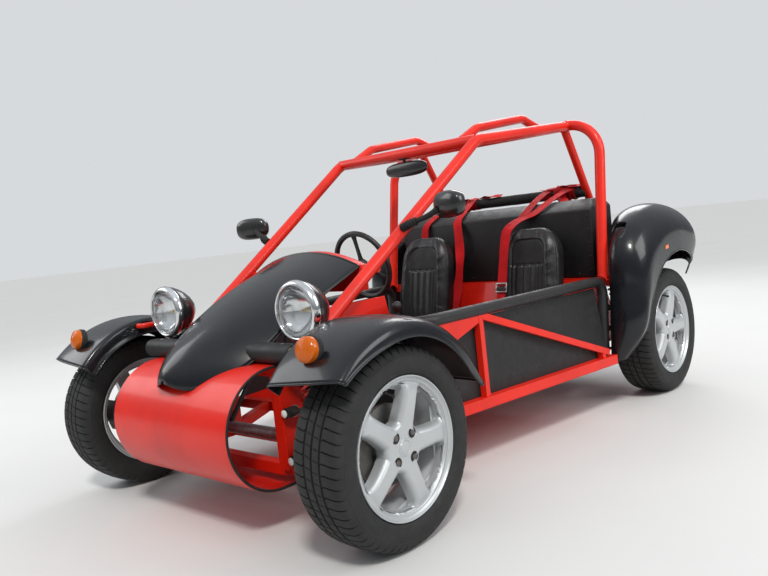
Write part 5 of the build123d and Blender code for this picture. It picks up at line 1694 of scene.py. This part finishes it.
def make_steering_wheel():
    turn = Matrix.Rotation(math.radians(16 - 90), 3, "X")
    centre, out = at(-300, 1000, 457), turn @ Vector(UP)
    grip_radius, stitch_radius = 0.158, 0.1452
    path = [centre + turn @ Vector((x, y, 0)) for x, y in ring_section(grip_radius, 180)]
    grips = [1.0 + 0.02 * math.cos(math.radians(24 * k)) for k in range(180)]
    build = Build().add(sweep(path, ring_section(0.0128, 22), closed=True, scale=grips))
    for a in round_angles(90):
        first, last = (Vector((stitch_radius * math.cos(b), stitch_radius * math.sin(b), z))
                       for b, z in ((a, -0.0026), (a + 0.026, 0.0026)))
        stitch = [centre + turn @ p for p in (first, (first + last) * 0.4965, last)]
        build.add(tube(stitch, 0.0007, 6), 1)
    for degrees in (-90, 30, 150):
        a = math.radians(degrees)
        along, across = Vector((math.cos(a), math.sin(a), 0)), Vector((-math.sin(a), math.cos(a), 0))
        outline = ((0.020, 0.017), (0.045, 0.0125), (0.090, 0.0110), (0.128, 0.0122), (0.150, 0.0175))
        edge = [along * r + across * h for r, h in outline]
        edge += [along * r - across * h for r, h in reversed(outline)]
        spoke = [centre + turn @ (p + Vector((0, 0, -0.0022))) for p in edge]
        build.add(plate(spoke, out, 0.0044, 0.0012), 2)
    hub = [(-0.020, 0.0), (-0.020, 0.026), (-0.016, 0.030), (-0.004, 0.031), (0.002, 0.034),
           (0.006, 0.0335), (0.010, 0.030), (0.014, 0.026), (0.0185, 0.021), (0.0200, 0.012), (0.0202, 0.0)]
    build.add(lathe(hub, centre, out, 48), 2)
    for k in range(6):
        a = 2 * math.pi * (k + 0.5) / 6
        place = centre + turn @ Vector((0.0295 * math.cos(a), 0.0295 * math.sin(a), 0.0088))
        build.add_all(hex_bolt(place, out, 0.0052, 0.0018, False), 3)
    build.make("steering_wheel_grip", [MATERIALS["wheel_grip"], MATERIALS["pad_black"],
                                       MATERIALS["control_black"], STEEL], body="steering_wheel",
               slot="wheel_grip", replaces=("steering_wheel",), sharp=42)


def coil_over(low, high, build):
    axis = high - low
    long, way = axis.length, axis.normalized()
    side = way.cross(Vector(BACK)).normalized()
    other = way.cross(side)

    def along(share):
        return low + axis * share

    def turned(profile, number, segments=36):
        build.add(lathe([(share * long, r) for share, r in profile], low, way, segments), number)

    turned([(0.05, 0.010), (0.07, 0.0170), (0.10, 0.0205), (0.30, 0.0205), (0.46, 0.0205), (0.47, 0.0190),
            (0.47, 0.0080)], 1)
    turned([(0.46, 0.0062), (0.92, 0.0062)], 2, 20)
    turned([(0.255, 0.0205), (0.258, 0.0310), (0.262, 0.0330), (0.276, 0.0330), (0.280, 0.0300),
            (0.280, 0.0205)], 1)
    turned([(0.225, 0.0205), (0.226, 0.0270), (0.246, 0.0270), (0.248, 0.0205)], 1, 12)
    turned([(0.880, 0.0120), (0.881, 0.0310), (0.886, 0.0335), (0.900, 0.0330), (0.915, 0.0210),
            (0.940, 0.0120), (0.960, 0.0090)], 1)
    turned([(0.78, 0.0064), (0.79, 0.0150), (0.82, 0.0165), (0.87, 0.0165), (0.88, 0.0120)], 3)
    turns, steps, path = 8.5, 300, []
    for k in range(steps + 1):
        t = k / steps
        ends = 0.06 * math.sin(2 * math.pi * t)
        share = 0.292 + 0.578 * (t - ends * 0.35)
        a = 2 * math.pi * turns * t
        path.append(along(share) + (side * math.cos(a) + other * math.sin(a)) * 0.0275)
    build.add(tube(path, 0.0046, 10))
    for end in (low, high):
        build.add(tube([end + Vector((0, y, 0)) for y in (-0.019, 0.019)], 0.0155, 28), 1)
        build.add(tube([end + Vector((0, y, 0)) for y in (-0.0215, 0.0215)], 0.0105, 24), 3)
        for y in (-0.0215, 0.0215):
            build.add_all(hex_bolt(end + Vector((0, y, 0)), (0, math.copysign(1, y), 0), 0.0135, 0.006), 2)


def make_coil_overs():
    build = Build()
    coil_over(at(500, 0, -74), at(341, 0, 207), build)
    coil_over(rear(515, 61, -68), rear(433.5, 61, 267), build)
    build.with_mirror().make("coil_overs", [MATERIALS["damper"], MATERIALS["control_black"],
                                            MATERIALS["chrome"], MATERIALS["pad_black"]], slot="damper",
                             replaces=("dampers",), sharp=40)


def saddle(base, along, radius, main, main_dir, main_radius, count=72):
    """The line where a branch tube meets a main tube."""
    along, main_dir = Vector(along).normalized(), Vector(main_dir).normalized()
    side = along.orthogonal().normalized()
    up = along.cross(side)
    found = []
    for a in round_angles(count):
        start = Vector(base) + (side * math.cos(a) + up * math.sin(a)) * radius
        q = start - Vector(main)
        q -= main_dir * q.dot(main_dir)
        d = along - main_dir * along.dot(main_dir)
        half, rest = d.dot(q), q.length_squared - main_radius ** 2
        inside = max(0.0, half * half - d.length_squared * rest)
        found.append(start + along * ((-half + math.sqrt(inside)) / d.length_squared))
    return found


def weld(line, radius=0.0030):
    """A bead of small overlapping scallops along a closed line."""
    fine = spline(line, len(line) * 3, closed=True)
    scale = [1.0 + 0.22 * abs(math.sin(i * 0.9)) for i in range(len(fine))]
    return sweep(fine, ring_section(radius, 8), closed=True, scale=scale)


def make_welds():
    build = Build()
    rail_end, corner = at(450, 1655, 995), at(390, 1021, 934)
    hoop_top = at(450, 1672, 997)
    build.add(weld(saddle(rail_end, corner - rail_end, 0.0230, hoop_top, LEFT, 0.0230)))
    brace, foot = at(427, 1700, 977), at(420, 2110, 297)
    build.add(weld(saddle(brace - (foot - brace) * 0.03, foot - brace, 0.0190, hoop_top, LEFT, 0.0230)))
    hoop_foot, hoop = at(622, 1560, 297), at(612, 1672, 997)
    build.add(weld(saddle(hoop_foot, hoop - hoop_foot, 0.0230, at(622, 1560, 287), (95, 1095, 0), 0.0225)))
    pillar = at(345, 112, 319)
    build.add(weld(saddle(pillar, corner - pillar, 0.0230, at(345, 120, 296), BACK, 0.0200)))
    build.with_mirror().make("weld_beads", "frame_red", sharp=60)


def node_surface(node):
    source = NODES[node]
    points = [source.matrix_world @ v.co for v in source.data.vertices]
    return BVHTree.FromPolygons(points, [tuple(p.vertices) for p in source.data.polygons])


def make_panel_rivets():
    surface = node_surface("side_panels")
    build = Build()
    for z in (238.0, 8.0):
        for y in range(520, 1540, 85):
            hit, normal = surface.ray_cast(at(900, y, z), Vector((-1, 0, 0)))[:2]
            if hit is not None and hit.x > 0.3:
                build.add(rivet(hit, normal if normal.x > 0 else -normal, 0.0052, 0.0022))
    build.with_mirror().make("panel_rivets", MATERIALS["control_black"])


def make_pivot_bolts():
    build = Build()
    for y, z in ((-55, -71), (55, -71), (-60, 82), (60, 82)):
        build.add(rivet(at(339.8, y - 24, z), FRONT, 0.0125, 0.0065))
        build.add_all(hex_bolt(at(339.8, y + 24, z), BACK, 0.017, 0.009), 1)
    for y, z in ((-130, -71), (130, -71), (-110, 107), (-20, 107)):
        build.add_all(hex_bolt(rear(439.8, y - 24, z), FRONT, 0.017, 0.008), 1)
        build.add_all(hex_bolt(rear(439.8, y + 24, z), BACK, 0.017, 0.009), 1)
    for y, z in ((-30, 77), (-30, -63)):
        build.add(rivet(at(323.5, y, z), LEFT, 0.0150, 0.0070))
        build.add(lathe([(-0.001, 0.0205), (0.0016, 0.0200), (0.0018, 0.0)], at(323.2, y, z), LEFT, 28), 1)
    hook = [at(333 + 3 * math.sin(a), 24 - 19 * math.cos(a), -136 - 24 * math.sin(a))
            for a in [math.radians(-30 + 250 * k / 24) for k in range(25)]]
    build.add(tube([at(324, 26, -112)] + hook, 0.0034, 12), 1)
    build.with_mirror().make("pivot_bolts", [MATERIALS["tick_white"], STEEL])


def make_exhaust():
    build = Build()
    y, z = 2240.0, 37.0
    body = [(-0.222, 0.0), (-0.222, 0.030), (-0.219, 0.046), (-0.214, 0.0545), (-0.208, 0.0585),
            (-0.204, 0.0600), (-0.199, 0.0600), (-0.198, 0.0582), (0.198, 0.0582), (0.199, 0.0600),
            (0.204, 0.0600), (0.208, 0.0585), (0.214, 0.0545), (0.219, 0.046), (0.222, 0.030), (0.222, 0.0)]
    build.add(lathe(body, at(0, y, z), LEFT, 72))
    for x in (-0.120, 0.120):
        band = [(x - 0.012, 0.0584), (x - 0.012, 0.0600), (x + 0.012, 0.0600), (x + 0.012, 0.0584)]
        build.add(lathe(band, at(0, y, z), LEFT, 64), 1)
    tail = [at(200, y - 4, z - 26), at(200, y + 30, z - 38), at(200, 2286, z - 50)]
    build.add(sweep(tail, ring_section(0.0222, 32), caps=False), 1)
    bore = [tail[-1], tail[-1] + Vector((0, -0.03, 0.008))]
    build.add(sweep(bore, ring_section(0.0205, 32), caps=False), 2)
    rim = [tail[-1] + Vector((x, 0.0, z)) for x, z in ring_section(0.0214, 40)]
    build.add(tube(rim, 0.0012, 8, closed=True), 1)
    pipe = rounded_corners([at(-120, 2142, z), at(-120, 2170, z), at(-120, y - 50, z)], 0.02)
    build.add(tube(pipe, 0.0222, 28), 1)
    flange = [(-0.004, 0.0222), (-0.004, 0.040), (0.004, 0.040), (0.004, 0.0222)]
    build.add(lathe(flange, at(-120, 2152, z), BACK, 32), 1)
    build.make("exhaust_shell", [MATERIALS["steel"], MATERIALS["chrome"], BLACK_AND_PAINTED_SHADE], slot="steel",
               replaces=("exhaust",), sharp=40)


def make_engine_detail():
    softened("engine_block", "engine_casting", "engine", 0.010, 4)
    build = Build()
    low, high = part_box("engine_block")
    for side in (-1, 1):
        x = side * 0.283
        for z in (0.30, 0.52):
            for y in range(-110, 111, 44):
                place = Vector((x - side * 0.0035, (low.y + high.y) / 2 + y / 1000, z))
                build.add_all(hex_bolt(place, (side, 0, 0), 0.011, 0.006))
    for x in range(-240, 241, 60):
        place = Vector((x / 1000, (low.y + high.y) / 2 + 0.05, high.z - 0.0005))
        build.add_all(hex_bolt(place, UP, 0.011, 0.006))
    build.make("engine_bolts", STEEL)


# Stage

def look_matrix(position, azimuth, down, roll):
    """Camera matrix from a compass angle, a dip and a roll, in degrees."""
    a, p, r = (math.radians(v) for v in (azimuth, down, roll))
    forward = Vector((-math.sin(a) * math.cos(p), math.cos(a) * math.cos(p), -math.sin(p)))
    right = Vector((math.cos(a), math.sin(a), 0))
    up = right.cross(forward)
    side = right * math.cos(r) + up * math.sin(r)
    top = up * math.cos(r) - right * math.sin(r)
    matrix = Matrix((side, top, -forward)).transposed().to_4x4()
    matrix.translation = position
    return matrix


# The view of the photograph: lens, place behind the front axle in metres, then compass angle, dip and roll
CAMERA_LENS = 34.99
CAMERA_PLACE = (2.1361, -1.5259, 0.9123)
CAMERA_TURN = (42.526, 4.550, -6.196)


def make_camera():
    camera = placed("camera", bpy.data.cameras.new("camera"))
    camera.data.sensor_width = 36.0
    camera.data.lens = CAMERA_LENS
    x, y, z = CAMERA_PLACE
    camera.matrix_world = look_matrix(Vector((x, FRONT_AXLE_Y + y, z)), *CAMERA_TURN)
    bpy.context.scene.camera = camera


def area_light(name, position, target, size, watts):
    data = bpy.data.lights.new(name, "AREA")
    data.shape = "RECTANGLE"
    data.size, data.size_y = size
    data.energy = watts
    lamp = placed(name, data)
    lamp.location = position
    lamp.rotation_euler = (Vector(target) - Vector(position)).to_track_quat("-Z", "Y").to_euler()


def make_world():
    """Pale behind the object, lit by an overcast sky that darkens towards the ground."""
    world = bpy.data.worlds.new("studio")
    world.use_nodes = True
    tree = world.node_tree
    ambient = tree.nodes["Background"]
    direction = tree.nodes.new("ShaderNodeTexCoord")
    parts = tree.nodes.new("ShaderNodeSeparateXYZ")
    tree.links.new(direction.outputs["Generated"], parts.inputs[0])
    sky = tree.nodes.new("ShaderNodeMapRange")
    for key, value in (("From Min", -0.05), ("From Max", 0.85), ("To Min", 0.14), ("To Max", 0.78)):
        sky.inputs[key].default_value = value
    tree.links.new(parts.outputs["Z"], sky.inputs["Value"])
    tree.links.new(sky.outputs["Result"], ambient.inputs["Strength"])
    ambient.inputs["Color"].default_value = (0.90, 0.95, 1.0, 1)
    shown = tree.nodes.new("ShaderNodeBackground")
    shown.inputs["Color"].default_value = (0.68, 0.70, 0.72, 1)
    shown.inputs["Strength"].default_value = 1.0
    mix = tree.nodes.new("ShaderNodeMixShader")
    path = tree.nodes.new("ShaderNodeLightPath")
    tree.links.new(path.outputs["Is Camera Ray"], mix.inputs[0])
    tree.links.new(ambient.outputs[0], mix.inputs[1])
    tree.links.new(shown.outputs[0], mix.inputs[2])
    tree.links.new(mix.outputs[0], tree.nodes["World Output"].inputs["Surface"])
    bpy.context.scene.world = world


def make_sun():
    data = bpy.data.lights.new("sun", "SUN")
    data.energy, data.angle = 1.75, math.radians(9)
    data.color = (1.0, 0.97, 0.92)
    lamp = placed("sun", data)
    lamp.rotation_euler = Vector((-2.6, 2.2, -4.2)).to_track_quat("-Z", "Y").to_euler()


# Soft lamps: name, place, target, size and watts
SOFT_LAMPS = (
    ("side", (4.5, 1.0, 3.0), (0, 0.2, 0.5), (2.5, 2.5), 90),
    ("fill", (-4.0, -2.5, 3.5), (0, -0.3, 0.5), (3.0, 3.0), 70),
    ("back", (-1.5, 4.5, 4.0), (0, 0.4, 0.6), (3.0, 2.0), 90),
)


def make_stage():
    data = bpy.data.meshes.new("floor")
    reach = 60.0
    data.from_pydata([(-reach, -reach, 0), (reach, -reach, 0), (reach, reach, 0), (-reach, reach, 0)], [],
                     [(0, 1, 2, 3)])
    floor = placed("floor", data)
    s = Shade("pale floor")
    s.colour(s.mix(s.noise(1.4, 4.0), (0.62, 0.62, 0.61), (0.67, 0.67, 0.66)))
    s.set(Roughness=0.8)
    s.bump(s.noise(60.0, 3.0), 0.001, 0.2)
    data.materials.append(s.material)
    make_sun()
    for lamp in SOFT_LAMPS:
        area_light(*lamp)


finish_cad_nodes()
make_wheels()
make_wings()
make_fenders()
make_bonnet()
make_nose_trim()
add_lamp_materials()
make_headlamps()
make_headlamp_bar()
make_indicators()
make_rear_lamps()
make_mirrors()
add_seat_materials()
make_seats()
make_harness()
make_harness_bar()
add_cabin_materials()
make_storage_box()
make_dashboard()
make_steering_wheel()
make_coil_overs()
make_welds()
make_panel_rivets()
make_pivot_bolts()
make_exhaust()
make_engine_detail()
make_world()
make_stage()
make_camera()
bpy.context.scene.view_settings.view_transform = "Standard"
